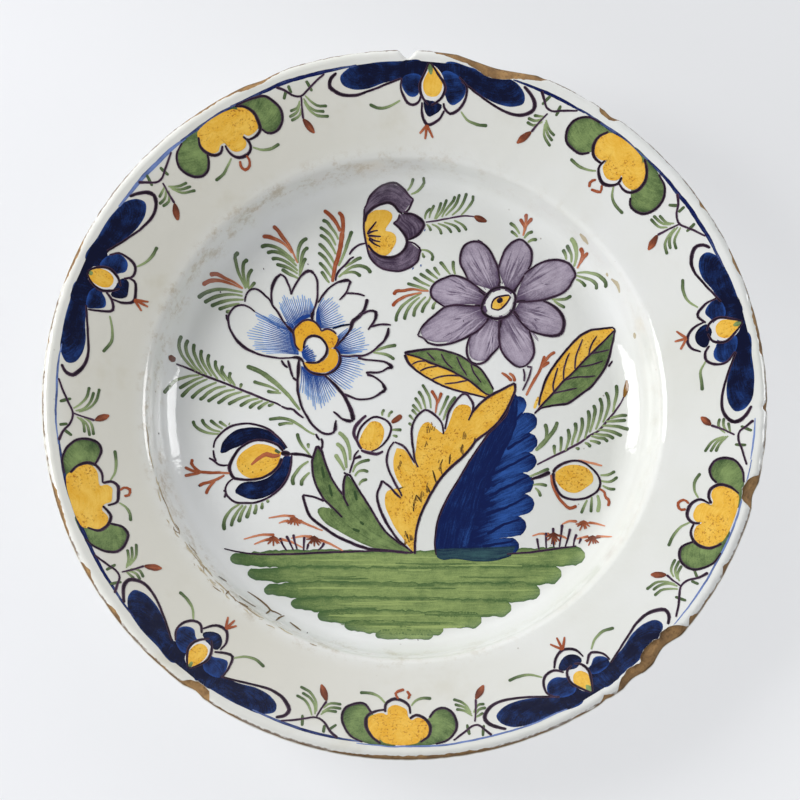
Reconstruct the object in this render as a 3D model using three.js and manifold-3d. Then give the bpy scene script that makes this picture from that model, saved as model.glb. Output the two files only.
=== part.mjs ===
// A tin-glazed earthenware plate, 350 mm across, with a wide sloping flange, a curved wall and a flat well.
// The dish is one fired clay body, with a foot ring of clay luted under it. Three coats of white tin glaze are
// fused to the clay: over the face, over the back, and in the recess inside the foot ring. The edge of the rim
// and the standing edge of the foot are bare clay. Old chips in the rim go through the glaze into the clay.
// Units are millimetres, with +Z up and the origin on the table under the plate's centre.

import * as THREE from "three";
import { mergeVertices } from "three/addons/utils/BufferGeometryUtils.js";
import Module from "manifold-3d";

const wasm = await Module();
wasm.setup();

// Driving dimensions of the dish. The wall's corners are where its straight line meets the well and the flange.
const rim_radius = 175;
const wall_corner_radius = 125.3;
const wall_rise = 22;
const wall_slope = THREE.MathUtils.degToRad(70);
const wall_straight = 5;
const flange_slope = THREE.MathUtils.degToRad(18.5);
const shoulder_radius = 6;
const back_shoulder_radius = 2.5;
const clay_thickness = 5.4;

// Driving dimensions of the foot ring
const foot_height = 7.5;
const foot_radius = 86;
const foot_width = 8;
const foot_outer_taper = 2.2;
const foot_inner_taper = 1.6;
const foot_edge_chamfer = 0.8;

// Glaze. The clearance keeps the corners of its chipped underside from crossing the clay.
const face_glaze_thickness = 0.6;
const back_glaze_thickness = 0.5;
const glaze_clearance = 0.01;
const bare_foot_height = 1.6;
const glazed_lip_turn = THREE.MathUtils.degToRad(44);

// Facets
const turns = 60;
const cove_steps = 4;
const shoulder_steps = 2;
const lip_steps = 2;

// Chips in the rim, each with its place as an angle anticlockwise from +X, its length along the rim, how far it
// reaches in over the face, and how deep it goes
const chips = [
  { at: 89.1, length: 9.5, reach: 4.7, depth: 8 },
  { at: 75.3, length: 46, reach: 8.6, depth: 5.6 },
  { at: 113.7, length: 22, reach: 4.4, depth: 1.8 },
  { at: 54.6, length: 8, reach: 3.7, depth: 1.6 },
  { at: 344.5, length: 12.5, reach: 7, depth: 2.6 },
  { at: 315.1, length: 25, reach: 8.6, depth: 3.2 },
  { at: 308.8, length: 17, reach: 6.6, depth: 2.4 },
  { at: 234.9, length: 12, reach: 6, depth: 2.2 },
];

const floor_level = foot_height + clay_thickness;
const lip_radius = clay_thickness / 2;
const point = (r, z) => new THREE.Vector2(r, z);

// Directions along a section line of this slope, and square to it on its upper side
const along = (slope) => point(Math.cos(slope), Math.sin(slope));
const above = (slope) => point(-Math.sin(slope), Math.cos(slope));

// The corner between two section lines, moved to where the lines meet when both are raised by this height
function raisedCorner(corner, slope_in, slope_out, height) {
  const mitre = above(slope_in).add(above(slope_out));
  const scale = height / (1 + above(slope_in).dot(above(slope_out)));
  return corner.clone().addScaledVector(mitre, scale);
}

// Points of the arc that rounds a corner between two section lines, from the first tangent point to the second
function roundedCorner(corner, slope_in, slope_out, radius, count) {
  const tangent = radius * Math.tan(Math.abs(slope_out - slope_in) / 2);
  const side = Math.sign(slope_out - slope_in);
  const start = corner.clone().addScaledVector(along(slope_in), -tangent);
  const centre = start.clone().addScaledVector(above(slope_in), side * radius);
  return Array.from({ length: count + 1 }, (_, i) => {
    const slope = slope_in + ((slope_out - slope_in) * i) / count;
    return centre.clone().addScaledVector(above(slope), -side * radius);
  });
}

const well_corner = point(wall_corner_radius - wall_rise / Math.tan(wall_slope), floor_level);
const wall_corner = point(wall_corner_radius, floor_level + wall_rise);
const wall_length = wall_rise / Math.sin(wall_slope);
const shoulder_tangent = shoulder_radius * Math.tan((wall_slope - flange_slope) / 2);

// The cove takes all of the wall that is left below its straight part.
const cove_radius = (wall_length - wall_straight - shoulder_tangent) / Math.tan(wall_slope / 2);

// The section of one side of the dish, this far above the face of the clay, from the axis to the flange
function sideSection(height, shoulder) {
  const low = raisedCorner(well_corner, 0, wall_slope, height);
  const high = raisedCorner(wall_corner, wall_slope, flange_slope, height);
  return [
    point(0, floor_level + height),
    ...roundedCorner(low, 0, wall_slope, cove_radius - height, cove_steps),
    ...roundedCorner(high, wall_slope, flange_slope, shoulder, shoulder_steps),
  ];
}

// The lip is a half round at the end of the flange, as thick as the clay.
const lip_reach = (rim_radius - lip_radius - wall_corner.x) / Math.cos(flange_slope);
const lip_centre = raisedCorner(wall_corner, flange_slope, flange_slope, -lip_radius);
lip_centre.addScaledVector(along(flange_slope), lip_reach - lip_radius * Math.tan(flange_slope));

// Points round the lip, by the angle turned from the face, with this much glaze over the clay
const lipArc = (from, to, glaze) =>
  Array.from({ length: lip_steps + 1 }, (_, i) => {
    const turn = from + ((to - from) * i) / lip_steps;
    return lip_centre.clone().addScaledVector(above(flange_slope - turn), lip_radius + glaze);
  });

const faceSection = (glaze) => [
  ...sideSection(glaze, shoulder_radius + glaze),
  ...lipArc(0, glazed_lip_turn, glaze),
];
const backSection = (glaze) => [
  ...sideSection(-clay_thickness - glaze, back_shoulder_radius - glaze),
  ...lipArc(Math.PI, Math.PI - glazed_lip_turn, glaze),
];

// Corners of the foot ring's section, which narrows towards the edge that it stands on
const foot_top_outer = point(foot_radius, foot_height);
const foot_top_inner = point(foot_radius - foot_width, foot_height);
const foot_low_outer = point(foot_radius - foot_outer_taper, foot_edge_chamfer);
const foot_low_inner = point(foot_top_inner.x + foot_inner_taper, foot_edge_chamfer);
const atHeight = (top, low, z) => top.clone().lerp(low, (top.y - z) / (top.y - low.y));
const foot_glaze_outer = atHeight(foot_top_outer, foot_low_outer, bare_foot_height);
const foot_glaze_inner = atHeight(foot_top_inner, foot_low_inner, bare_foot_height);

// Turns a section into a closed body. The points run clockwise as seen with the axis on the left.
function turned(section) {
  const lathe = new THREE.LatheGeometry(section.reverse(), turns);
  lathe.rotateX(Math.PI / 2);
  lathe.deleteAttribute("normal");
  lathe.deleteAttribute("uv");
  return mergeVertices(lathe, 1e-4);
}

const solidOf = (geometry) =>
  new wasm.Manifold(
    new wasm.Mesh({
      numProp: 3,
      vertProperties: new Float32Array(geometry.attributes.position.array),
      triVerts: new Uint32Array(geometry.index.array),
    }),
  );

function geometryOf(solid) {
  const mesh = solid.getMesh();
  const geometry = new THREE.BufferGeometry();
  geometry.setAttribute("position", new THREE.BufferAttribute(mesh.vertProperties, 3));
  geometry.setIndex(new THREE.BufferAttribute(mesh.triVerts, 1));
  return geometry;
}

// A chip is the hollow that a flattened ball leaves where it is pressed into the upper edge of the rim.
function chipCutter({ at, length, reach, depth }) {
  const ball = new THREE.IcosahedronGeometry(1, 1);
  ball.deleteAttribute("normal");
  ball.deleteAttribute("uv");
  ball.scale(reach, length / 2, depth);
  ball.rotateY(-flange_slope);
  ball.translate(rim_radius, 0, lip_centre.y + lip_radius + face_glaze_thickness);
  ball.rotateZ(THREE.MathUtils.degToRad(at));
  return solidOf(mergeVertices(ball, 1e-4));
}

const chip_cutters = chips.map(chipCutter);
const chipped = (geometry) =>
  geometryOf(chip_cutters.reduce((body, cutter) => body.subtract(cutter), solidOf(geometry)));

const dishBody = () =>
  chipped(
    turned([
      ...faceSection(0),
      ...lipArc(glazed_lip_turn, Math.PI - glazed_lip_turn, 0).slice(1, -1),
      ...backSection(0).reverse(),
    ]),
  );

const faceGlaze = () =>
  chipped(turned([...faceSection(face_glaze_thickness), ...faceSection(glaze_clearance).reverse()]));

// The back's glaze starts on the outside of the foot ring, above its bare edge.
function backGlaze() {
  const glaze = back_glaze_thickness;
  return chipped(
    turned([
      foot_glaze_outer,
      foot_top_outer,
      ...backSection(glaze_clearance).slice(1),
      ...backSection(glaze).slice(1).reverse(),
      point(foot_top_outer.x + glaze, foot_top_outer.y - glaze),
      point(foot_glaze_outer.x + glaze, foot_glaze_outer.y),
      foot_glaze_outer,
    ]),
  );
}

function recessGlaze() {
  const glaze = back_glaze_thickness;
  return turned([
    point(0, foot_height),
    foot_top_inner,
    foot_glaze_inner,
    point(foot_glaze_inner.x - glaze, foot_glaze_inner.y),
    point(foot_top_inner.x - glaze, foot_height - glaze),
    point(0, foot_height - glaze),
  ]);
}

const footRing = () =>
  turned([
    foot_top_inner,
    foot_top_outer,
    foot_glaze_outer,
    foot_low_outer,
    point(foot_low_outer.x - foot_edge_chamfer, 0),
    point(foot_low_inner.x + foot_edge_chamfer, 0),
    foot_low_inner,
    foot_glaze_inner,
    foot_top_inner,
  ]);

const bareClay = () => new THREE.MeshStandardMaterial({ color: 0xb08a5c, roughness: 0.85, metalness: 0 });
const whiteGlaze = () => new THREE.MeshStandardMaterial({ color: 0xe4e5e1, roughness: 0.12, metalness: 0 });

function piece(name, geometry, material) {
  const mesh = new THREE.Mesh(geometry, material);
  mesh.name = name;
  return mesh;
}

const plate = new THREE.Group();
plate.name = "faience_plate";
plate.add(
  piece("dish_body", dishBody(), bareClay()),
  piece("foot_ring", footRing(), bareClay()),
  piece("face_glaze", faceGlaze(), whiteGlaze()),
  piece("back_glaze", backGlaze(), whiteGlaze()),
  piece("foot_recess_glaze", recessGlaze(), whiteGlaze()),
);

export default plate;
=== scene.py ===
import math
import random
from bisect import bisect

import bmesh
import bpy
from mathutils import Matrix, Vector, noise


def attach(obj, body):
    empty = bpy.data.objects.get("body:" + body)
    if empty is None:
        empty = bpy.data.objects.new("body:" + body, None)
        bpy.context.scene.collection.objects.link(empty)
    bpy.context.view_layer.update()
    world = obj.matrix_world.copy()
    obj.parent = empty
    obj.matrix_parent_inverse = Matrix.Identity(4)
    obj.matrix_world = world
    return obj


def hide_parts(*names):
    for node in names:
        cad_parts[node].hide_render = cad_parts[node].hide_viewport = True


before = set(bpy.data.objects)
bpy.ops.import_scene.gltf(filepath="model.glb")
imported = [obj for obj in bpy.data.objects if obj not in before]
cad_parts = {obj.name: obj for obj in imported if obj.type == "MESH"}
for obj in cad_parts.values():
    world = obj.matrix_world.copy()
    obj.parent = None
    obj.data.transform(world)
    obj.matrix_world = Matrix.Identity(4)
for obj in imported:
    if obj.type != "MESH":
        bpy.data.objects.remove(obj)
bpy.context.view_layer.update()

MM = 0.001

# The plate's driving sizes in millimetres and degrees, as in the part's source
RIM_RADIUS = 175
WALL_CORNER_RADIUS = 125.3
WALL_RISE = 22
WALL_SLOPE = math.radians(70)
WALL_STRAIGHT = 5
FLANGE_SLOPE = math.radians(18.5)
SHOULDER_RADIUS = 6
BACK_SHOULDER_RADIUS = 2.5
CLAY = 5.4
FOOT_HEIGHT = 7.5
FOOT_RADIUS = 86
FOOT_WIDTH = 8
FACE_GLAZE = 0.6
BACK_GLAZE = 0.5

FLOOR_LEVEL = FOOT_HEIGHT + CLAY
LIP = CLAY / 2

# The foot ring narrows downwards by these outside and inside, to where its standing edge is rounded off.
# Its glaze stops a little higher.
FOOT_TAPER = 2.2
RECESS_TAPER = 1.6
FOOT_ROUNDING = 0.8
FOOT_BARE = 1.6

# How finely the pieces are made
ROUND_STEPS = 300
RIM_CUTS = 2
COAT_GAP = 0.02
WELDED = 1e-4

# The glaze thins round the lip by this part, up to this angle turned from the face
LIP_THINNING = 0.8
LIP_THINNEST = 108
FACE_GLAZE_TURN = 102
BACK_GLAZE_TURN = 128


# Sections of the plate

def along(slope):
    """The direction of a section line with this slope."""
    return Vector((math.cos(slope), math.sin(slope)))


def above(slope):
    """The direction square to a section line with this slope, on its upper side."""
    return Vector((-math.sin(slope), math.cos(slope)))


def raised_corner(corner, slope_in, slope_out, height):
    """The corner between two section lines, moved to where they meet when both are raised by this height."""
    mitre = above(slope_in) + above(slope_out)
    return corner + mitre * (height / (1 + above(slope_in).dot(above(slope_out))))


def rounded_corner(corner, slope_in, slope_out, radius, count):
    """Points of the arc that rounds a corner between two section lines."""
    side = math.copysign(1, slope_out - slope_in)
    start = corner - along(slope_in) * (radius * math.tan(abs(slope_out - slope_in) / 2))
    centre = start + above(slope_in) * (side * radius)
    slopes = [slope_in + (slope_out - slope_in) * i / count for i in range(count + 1)]
    return [centre - above(slope) * (side * radius) for slope in slopes]


WELL_CORNER = Vector((WALL_CORNER_RADIUS - WALL_RISE / math.tan(WALL_SLOPE), FLOOR_LEVEL))
WALL_CORNER = Vector((WALL_CORNER_RADIUS, FLOOR_LEVEL + WALL_RISE))
SHOULDER_TANGENT = SHOULDER_RADIUS * math.tan((WALL_SLOPE - FLANGE_SLOPE) / 2)
COVE_RADIUS = (WALL_RISE / math.sin(WALL_SLOPE) - WALL_STRAIGHT - SHOULDER_TANGENT) / math.tan(WALL_SLOPE / 2)

LIP_REACH = (RIM_RADIUS - LIP - WALL_CORNER.x) / math.cos(FLANGE_SLOPE)
LIP_CENTRE = raised_corner(WALL_CORNER, FLANGE_SLOPE, FLANGE_SLOPE, -LIP)
LIP_CENTRE += along(FLANGE_SLOPE) * (LIP_REACH - LIP * math.tan(FLANGE_SLOPE))


def side_section(height, shoulder, cove_steps, shoulder_steps):
    """The section of one side of the dish, this far above the clay's face, up to where the flange starts."""
    low = raised_corner(WELL_CORNER, 0, WALL_SLOPE, height)
    high = raised_corner(WALL_CORNER, WALL_SLOPE, FLANGE_SLOPE, height)
    return (rounded_corner(low, 0, WALL_SLOPE, COVE_RADIUS - height, cove_steps)
            + rounded_corner(high, WALL_SLOPE, FLANGE_SLOPE, shoulder, shoulder_steps))


def lip_arc(turn_from, turn_to, glaze, steps):
    """Points round the lip, by the angle turned from the face, with this much glaze over the clay."""
    turns = [turn_from + (turn_to - turn_from) * i / steps for i in range(steps + 1)]
    return [LIP_CENTRE + above(FLANGE_SLOPE - math.radians(turn)) * (LIP + glaze) for turn in turns]


def thinning_lip(last_turn, glaze, steps):
    """Points round the lip from the face, under a glaze that thins towards the edge."""
    turns = [last_turn * i / steps for i in range(steps + 1)]
    coats = [glaze * (1 - LIP_THINNING * (turn / LIP_THINNEST) ** 2) for turn in turns]
    return [LIP_CENTRE + above(FLANGE_SLOPE - math.radians(turn)) * (LIP + coat)
            for turn, coat in zip(turns, coats)]


class Profile:
    """Height and slope of a face of the plate at any radius."""

    def __init__(self, glaze, last_turn):
        self.points = [Vector((0, FLOOR_LEVEL + glaze)),
                       *side_section(glaze, SHOULDER_RADIUS + glaze, 60, 24),
                       *thinning_lip(last_turn, glaze, 40)]
        self.radii = [point.x for point in self.points]

    def at(self, radius):
        radius = min(radius, self.radii[-1])
        i = min(max(bisect(self.radii, radius), 1), len(self.radii) - 1)
        inner, outer = self.points[i - 1], self.points[i]
        part = (radius - inner.x) / (outer.x - inner.x)
        return inner.y + (outer.y - inner.y) * part, math.atan2(outer.y - inner.y, outer.x - inner.x)


GLAZE_FACE = Profile(FACE_GLAZE, FACE_GLAZE_TURN + 2)
CLAY_FACE = Profile(0, 98)

# Wear of the rim. Each chip is the inner outline of bare clay, as angles anticlockwise from +X and radii.
# Each dent is a place where the rim's edge is broken back: its middle, half its width in degrees, its depth.
# A chip's reach inwards counts from its mouth, and a radius outside the rim stands for no chip.
CHIP_MOUTH = 174.6
NO_CHIP = 176
CHIPS = [
    [(66.5, 174.8), (67.4, 173), (69.2, 171), (71, 169.7), (72.6, 168.4), (73.8, 166.9), (75.4, 166.4),
     (77, 167), (78.3, 168.6), (80, 170.5), (82, 171.6), (84.6, 173.2), (86, 174.8)],
    [(109.5, 174.8), (111, 173.4), (112.5, 172.3), (114.5, 171.5), (116.5, 172.2), (118, 173.2), (121, 173.6),
     (125, 173.5), (129.4, 174.8)],
    [(53.6, 174.8), (54.2, 172.4), (55, 171.4), (56.2, 171.3), (57, 172.2), (57.6, 174.8)],
    [(343.2, 174.8), (343.7, 171.3), (344.4, 168.8), (346, 168.2), (347.6, 169.2), (348.2, 171.3),
     (348.8, 174.8)],
    [(306.2, 174.8), (307.2, 171.7), (308.2, 170.4), (309.6, 169.2), (311, 169.9), (311.9, 170.9),
     (312.5, 168), (314, 167), (316.3, 167), (316.9, 168.3), (317.8, 166.9), (319.2, 167.8), (320.4, 170),
     (321.5, 174.8)],
    [(231.8, 174.8), (232.8, 171.4), (234, 169.9), (235.4, 169.7), (236.5, 170.9), (237.4, 174.8)],
    [(256, 174.8), (262, 174.2), (268, 173.7), (274, 173.6), (280, 173.8), (287, 174.8)],
    [(303, 174.3), (304, 172.4), (305.2, 174.3)],
    [(321.8, 174.3), (322.8, 172.6), (324, 174.3)],
    [(331.6, 174.3), (332.6, 172.8), (334, 174.3)],
    [(214.6, 174.3), (216.5, 172.9), (218.5, 174.3)],
    [(206.6, 174.3), (208.6, 173), (210.6, 174.3)],
    [(193, 174.3), (195, 173.2), (199, 173.4), (202, 174.3)],
    [(152, 174.3), (155, 173.3), (158, 173.6), (160, 174.3)],
    [(33, 174.3), (34.6, 172.9), (36.5, 174.3)],
    [(21.5, 174.3), (23.5, 173), (26.5, 174.3)],
    [(8, 174.3), (9, 173.1), (10.5, 173.6), (14.5, 173.2), (16.5, 174.3)],
    [(359, 174.3), (359.8, 172.6), (361, 174.3)],
]
DENTS = [(89.6, 1.4, 3.9), (75.2, 6.5, 2.6), (316.6, 3.2, 2.6), (309.4, 2.2, 1.3), (345.5, 2.2, 1.4),
         (234.4, 2, 1.3), (55.2, 1.4, 0.9), (113.2, 2.6, 0.8), (304, 0.9, 0.7), (359.8, 0.8, 0.6)]


def straight_between(points, at):
    """The value at a place on a line of (place, value) points."""
    i = min(max(bisect([point[0] for point in points], at), 1), len(points) - 1)
    (low, first), (high, second) = points[i - 1], points[i]
    return first + (second - first) * (at - low) / (high - low)


def read_angle(angle):
    """The angle that the lists of wear use for this place, which runs up to a degree ahead on the right."""
    a = math.radians(angle)
    return angle + 0.98 * math.cos(a) - 0.09 * math.sin(a) + 0.15


def chip_at(angle):
    """How far in the nearest chip reaches at this angle, as a radius."""
    angle, reach = read_angle(angle), NO_CHIP
    for chip in CHIPS:
        for turn in (angle, angle + 360):
            if chip[0][0] < turn < chip[-1][0]:
                reach = min(reach, straight_between(chip, turn))
    return reach


def around(angle):
    """The direction at this angle round the plate."""
    return Vector((math.cos(math.radians(angle)), math.sin(math.radians(angle)), 0))


def glaze_edge(angle):
    """The radius at which the face's glaze stops."""
    place = around(angle)
    ragged = noise.noise(place * 60) * 0.25 + noise.noise(place * 160) * 0.2
    worn = max(0, noise.noise(place * 9 + Vector((4, 0, 0)))) * 0.7 + max(0, noise.noise(place * 38)) * 0.8
    return min(chip_at(angle) + ragged * 2, rim_edge(angle) + min(ragged, 0.06) - worn)


def rim_edge(angle):
    """The radius of the rim's own broken edge."""
    back = max(0, noise.noise(around(angle) * 40)) * 0.35
    for middle, half, deep in DENTS:
        off = abs((read_angle(angle) - middle + 180) % 360 - 180)
        if off < half:
            back = max(back, deep * (1 - (off / half) ** 1.5))
    return RIM_RADIUS - back


WORN_ZONE = 160


def unbroken(radius, angle):
    """The radius that a place of the worn zone had before the rim's edge was broken back."""
    if radius <= WORN_ZONE:
        return radius
    return WORN_ZONE + (radius - WORN_ZONE) * (RIM_RADIUS - WORN_ZONE) / (rim_edge(angle) - WORN_ZONE)


def worn_face(profile, radius, angle):
    """Height and slope of a face at this place, with the rim's edge broken back along the flange."""
    first = unbroken(radius, angle)
    height, slope = profile.at(first)
    return height + (radius - first) * math.tan(FLANGE_SLOPE), slope


# Making of the pieces

def finished(name, bm, materials, replaces=()):
    """Puts a bmesh measured in millimetres on the plate as a piece."""
    bmesh.ops.scale(bm, vec=(MM, MM, MM), verts=bm.verts)
    mesh = bpy.data.meshes.new(name)
    bm.to_mesh(mesh)
    bm.free()
    for material in materials:
        mesh.materials.append(material)
    piece = bpy.data.objects.new(name, mesh)
    bpy.context.scene.collection.objects.link(piece)
    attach(piece, "root")
    if replaces:
        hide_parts(*replaces)
    return piece


def turned(section, steps=ROUND_STEPS, ring=False):
    """A body turned from a section that starts and ends on the axis, or from a closed one beside it."""
    bm = bmesh.new()
    line = [bm.verts.new((point.x, 0, point.y)) for point in section]
    edges = [bm.edges.new(pair) for pair in zip(line, line[1:] + line[:ring])]
    bmesh.ops.spin(bm, geom=line + edges, cent=(0, 0, 0), axis=(0, 0, 1), dvec=(0, 0, 0), angle=math.tau,
                   steps=steps, use_merge=True, use_duplicate=False, use_normal_flip=False)
    bmesh.ops.remove_doubles(bm, verts=bm.verts, dist=WELDED)
    bmesh.ops.recalc_face_normals(bm, faces=bm.faces)
    for face in bm.faces:
        face.smooth = True
    return bm


def divided_rim(bm):
    """Cuts the faces of the worn zone finer round the rim."""
    def ring(edge):
        ends = [math.hypot(vert.co.x, vert.co.y) for vert in edge.verts]
        return min(ends) > WORN_ZONE and abs(ends[0] - ends[1]) < 1e-3 and edge.calc_length() > 1e-3

    level = [edge for edge in bm.edges if abs(edge.verts[0].co.z - edge.verts[1].co.z) < 1e-3 and ring(edge)]
    bmesh.ops.subdivide_edges(bm, edges=level, cuts=RIM_CUTS, use_grid_fill=True)


def spaced(first, last, step):
    """Section points every so often along a straight line, without its ends."""
    count = max(1, round((last - first).length / step))
    return [first.lerp(last, i / count) for i in range(1, count)]


def face_line(glaze, well_step, cove_steps, shoulder_steps, flange_step, lip_points):
    """A face's section from the axis to its lip."""
    side = side_section(glaze, SHOULDER_RADIUS + glaze, cove_steps, shoulder_steps)
    centre = Vector((0, FLOOR_LEVEL + glaze))
    return [centre, *spaced(centre, side[0], well_step), *side,
            *spaced(side[-1], lip_points[0], flange_step), *lip_points]


def worn_radius(radius, edge, nominal):
    """Where a ring of the worn zone goes when the edge stands at another radius than nominal."""
    return WORN_ZONE + (radius - WORN_ZONE) * (edge - WORN_ZONE) / (nominal - WORN_ZONE)


def angle_of(place):
    """The angle of a place round the plate, from 0 to 360."""
    return math.degrees(math.atan2(place.y, place.x)) % 360


def moved_to(vert, radius, height):
    """Moves a vertex to this radius and height."""
    scale = radius / math.hypot(vert.co.x, vert.co.y)
    vert.co = Vector((vert.co.x * scale, vert.co.y * scale, height))


def worn_verts(bm):
    """The vertices of the worn zone, each with its radius and angle."""
    for vert in bm.verts:
        radius = math.hypot(vert.co.x, vert.co.y)
        if radius > WORN_ZONE:
            yield vert, radius, angle_of(vert.co)


def make_face_glaze(material):
    """The face's coat of glaze, which stops at the worn rim and at the chips."""
    top = face_line(FACE_GLAZE, 14, 16, 8, 4, thinning_lip(FACE_GLAZE_TURN, FACE_GLAZE, 12))
    under = face_line(COAT_GAP, 40, 5, 3, 20, lip_arc(0, 94, COAT_GAP, 5))
    bm = turned(top + under[::-1])
    divided_rim(bm)
    nominal = top[-1].x
    for vert, radius, angle in worn_verts(bm):
        on_top = vert.co.z > GLAZE_FACE.at(min(radius, nominal))[0] - FACE_GLAZE / 2
        new = worn_radius(radius, glaze_edge(angle), nominal)
        height = worn_face(GLAZE_FACE if on_top else CLAY_FACE, new, angle)[0]
        moved_to(vert, new, height if on_top else height + COAT_GAP)
    return finished("face_glaze_coat", bm, [material], ["face_glaze"])


def make_dish_clay(material):
    """The clay body, whose rim is worn and broken where the glaze has come off."""
    top = face_line(0, 60, 5, 3, 1.6, lip_arc(0, 90, 0, 8))
    low = [Vector((0, FOOT_HEIGHT)), *side_section(-CLAY, BACK_SHOULDER_RADIUS, 5, 2),
           *lip_arc(180, 105, 0, 5)]
    bm = turned(top + low[::-1])
    divided_rim(bm)
    for vert, radius, angle in worn_verts(bm):
        new = worn_radius(radius, rim_edge(angle), RIM_RADIUS)
        height = vert.co.z
        bare = new - glaze_edge(angle)
        middle = LIP_CENTRE.y - (RIM_RADIUS - LIP - radius) * math.tan(FLANGE_SLOPE)
        if bare > 0 and height > middle - 1.2:
            chip = CHIP_MOUTH - chip_at(angle)
            rough = noise.noise(vert.co * 0.7) * 0.5 + noise.noise(vert.co * 2.1) * 0.22
            bite = min(1, bare / 1.2) * min(1, chip / 2) * (0.55 + bare * 0.22 + rough)
            height -= max(0, bite) * (0.35 if height < middle else 1)
        moved_to(vert, new, height + (new - radius) * math.tan(FLANGE_SLOPE))
    return finished("dish_clay", bm, [material], ["dish_body"])


def make_back_glaze(material):
    """The back's coat of glaze, from the outside of the foot ring to under the lip."""
    taper = FOOT_TAPER / (FOOT_HEIGHT - FOOT_ROUNDING)
    foot_low = Vector((FOOT_RADIUS - (FOOT_HEIGHT - FOOT_BARE) * taper, FOOT_BARE))
    foot_top = Vector((FOOT_RADIUS, FOOT_HEIGHT))
    outer = side_section(-CLAY - BACK_GLAZE, BACK_SHOULDER_RADIUS - BACK_GLAZE, 18, 5)
    inner = side_section(-CLAY - COAT_GAP, BACK_SHOULDER_RADIUS, 18, 5)
    lip_out, lip_in = (lip_arc(180, BACK_GLAZE_TURN, coat, 6) for coat in (BACK_GLAZE, COAT_GAP))
    skirt = Vector((foot_top.x + 1.4, foot_top.y - BACK_GLAZE))
    section = [foot_low, foot_top, *inner, *spaced(inner[-1], lip_in[0], 6), *lip_in, *lip_out[::-1],
               *spaced(lip_out[0], outer[-1], 6), *outer[::-1], skirt,
               Vector((foot_top.x + 0.62, foot_top.y - 1.2)),
               Vector((foot_low.x + BACK_GLAZE, foot_low.y + 0.4)),
               Vector((foot_low.x + 0.2, foot_low.y - 0.1))]
    bm = turned(section, ring=True)
    divided_rim(bm)
    for vert, radius, angle in worn_verts(bm):
        new = worn_radius(radius, rim_edge(angle), RIM_RADIUS)
        moved_to(vert, new, vert.co.z + (new - radius) * math.tan(FLANGE_SLOPE))
    return finished("back_glaze_coat", bm, [material], ["back_glaze"])


def make_recess_glaze(material):
    """The thin glaze in the recess inside the foot ring."""
    taper = RECESS_TAPER / (FOOT_HEIGHT - FOOT_ROUNDING)
    inner_top = FOOT_RADIUS - FOOT_WIDTH
    inner_low = inner_top + (FOOT_HEIGHT - FOOT_BARE) * taper
    ceiling = FOOT_HEIGHT - BACK_GLAZE
    section = [Vector((0, FOOT_HEIGHT)), Vector((inner_top, FOOT_HEIGHT)), Vector((inner_low, FOOT_BARE)),
               Vector((inner_low - 0.25, 1.5)), Vector((inner_low - BACK_GLAZE, 2.1)),
               Vector((inner_top - 0.62, ceiling - 1.1)), Vector((inner_top - 1.5, ceiling)),
               *spaced(Vector((inner_top - 1.5, ceiling)), Vector((0, ceiling)), 10), Vector((0, ceiling))]
    bm = turned(section, 240)
    return finished("foot_recess_coat", bm, [material], ["foot_recess_glaze"])


def make_foot_ring(material):
    """The foot ring, with a worn round standing edge."""
    outer, inner = FOOT_RADIUS, FOOT_RADIUS - FOOT_WIDTH
    section = [Vector((inner, FOOT_HEIGHT)), Vector((outer, FOOT_HEIGHT)), Vector((outer - 1.95, FOOT_BARE)),
               Vector((outer - FOOT_TAPER, FOOT_ROUNDING)), Vector((outer - 2.5, 0.3)),
               Vector((outer - 3.1, 0)), Vector((inner + 2.5, 0)), Vector((inner + 1.9, 0.3)),
               Vector((inner + RECESS_TAPER, FOOT_ROUNDING)), Vector((inner + 1.4, FOOT_BARE))]
    bm = turned(section, 360, ring=True)
    for vert in bm.verts:
        if vert.co.z < 1:
            vert.co.z += max(0, noise.noise(vert.co * 0.35)) * 0.35
    return finished("standing_ring", bm, [material], ["foot_ring"])


# Materials

class Value:
    """A socket that carries a number. Arithmetic on it adds Math nodes."""

    def __init__(self, finish, socket):
        self.finish, self.socket = finish, socket

    def sum(self, operation, *numbers):
        return self.finish.node("ShaderNodeMath", {"operation": operation}, dict(enumerate(numbers)))

    def __add__(self, other):
        return self.sum("ADD", self, other)

    def __sub__(self, other):
        return self.sum("SUBTRACT", self, other)

    def __rsub__(self, other):
        return self.sum("SUBTRACT", other, self)

    def __mul__(self, other):
        return self.sum("MULTIPLY", self, other)

    def __truediv__(self, other):
        return self.sum("DIVIDE", self, other)

    __radd__, __rmul__ = __add__, __mul__


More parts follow.
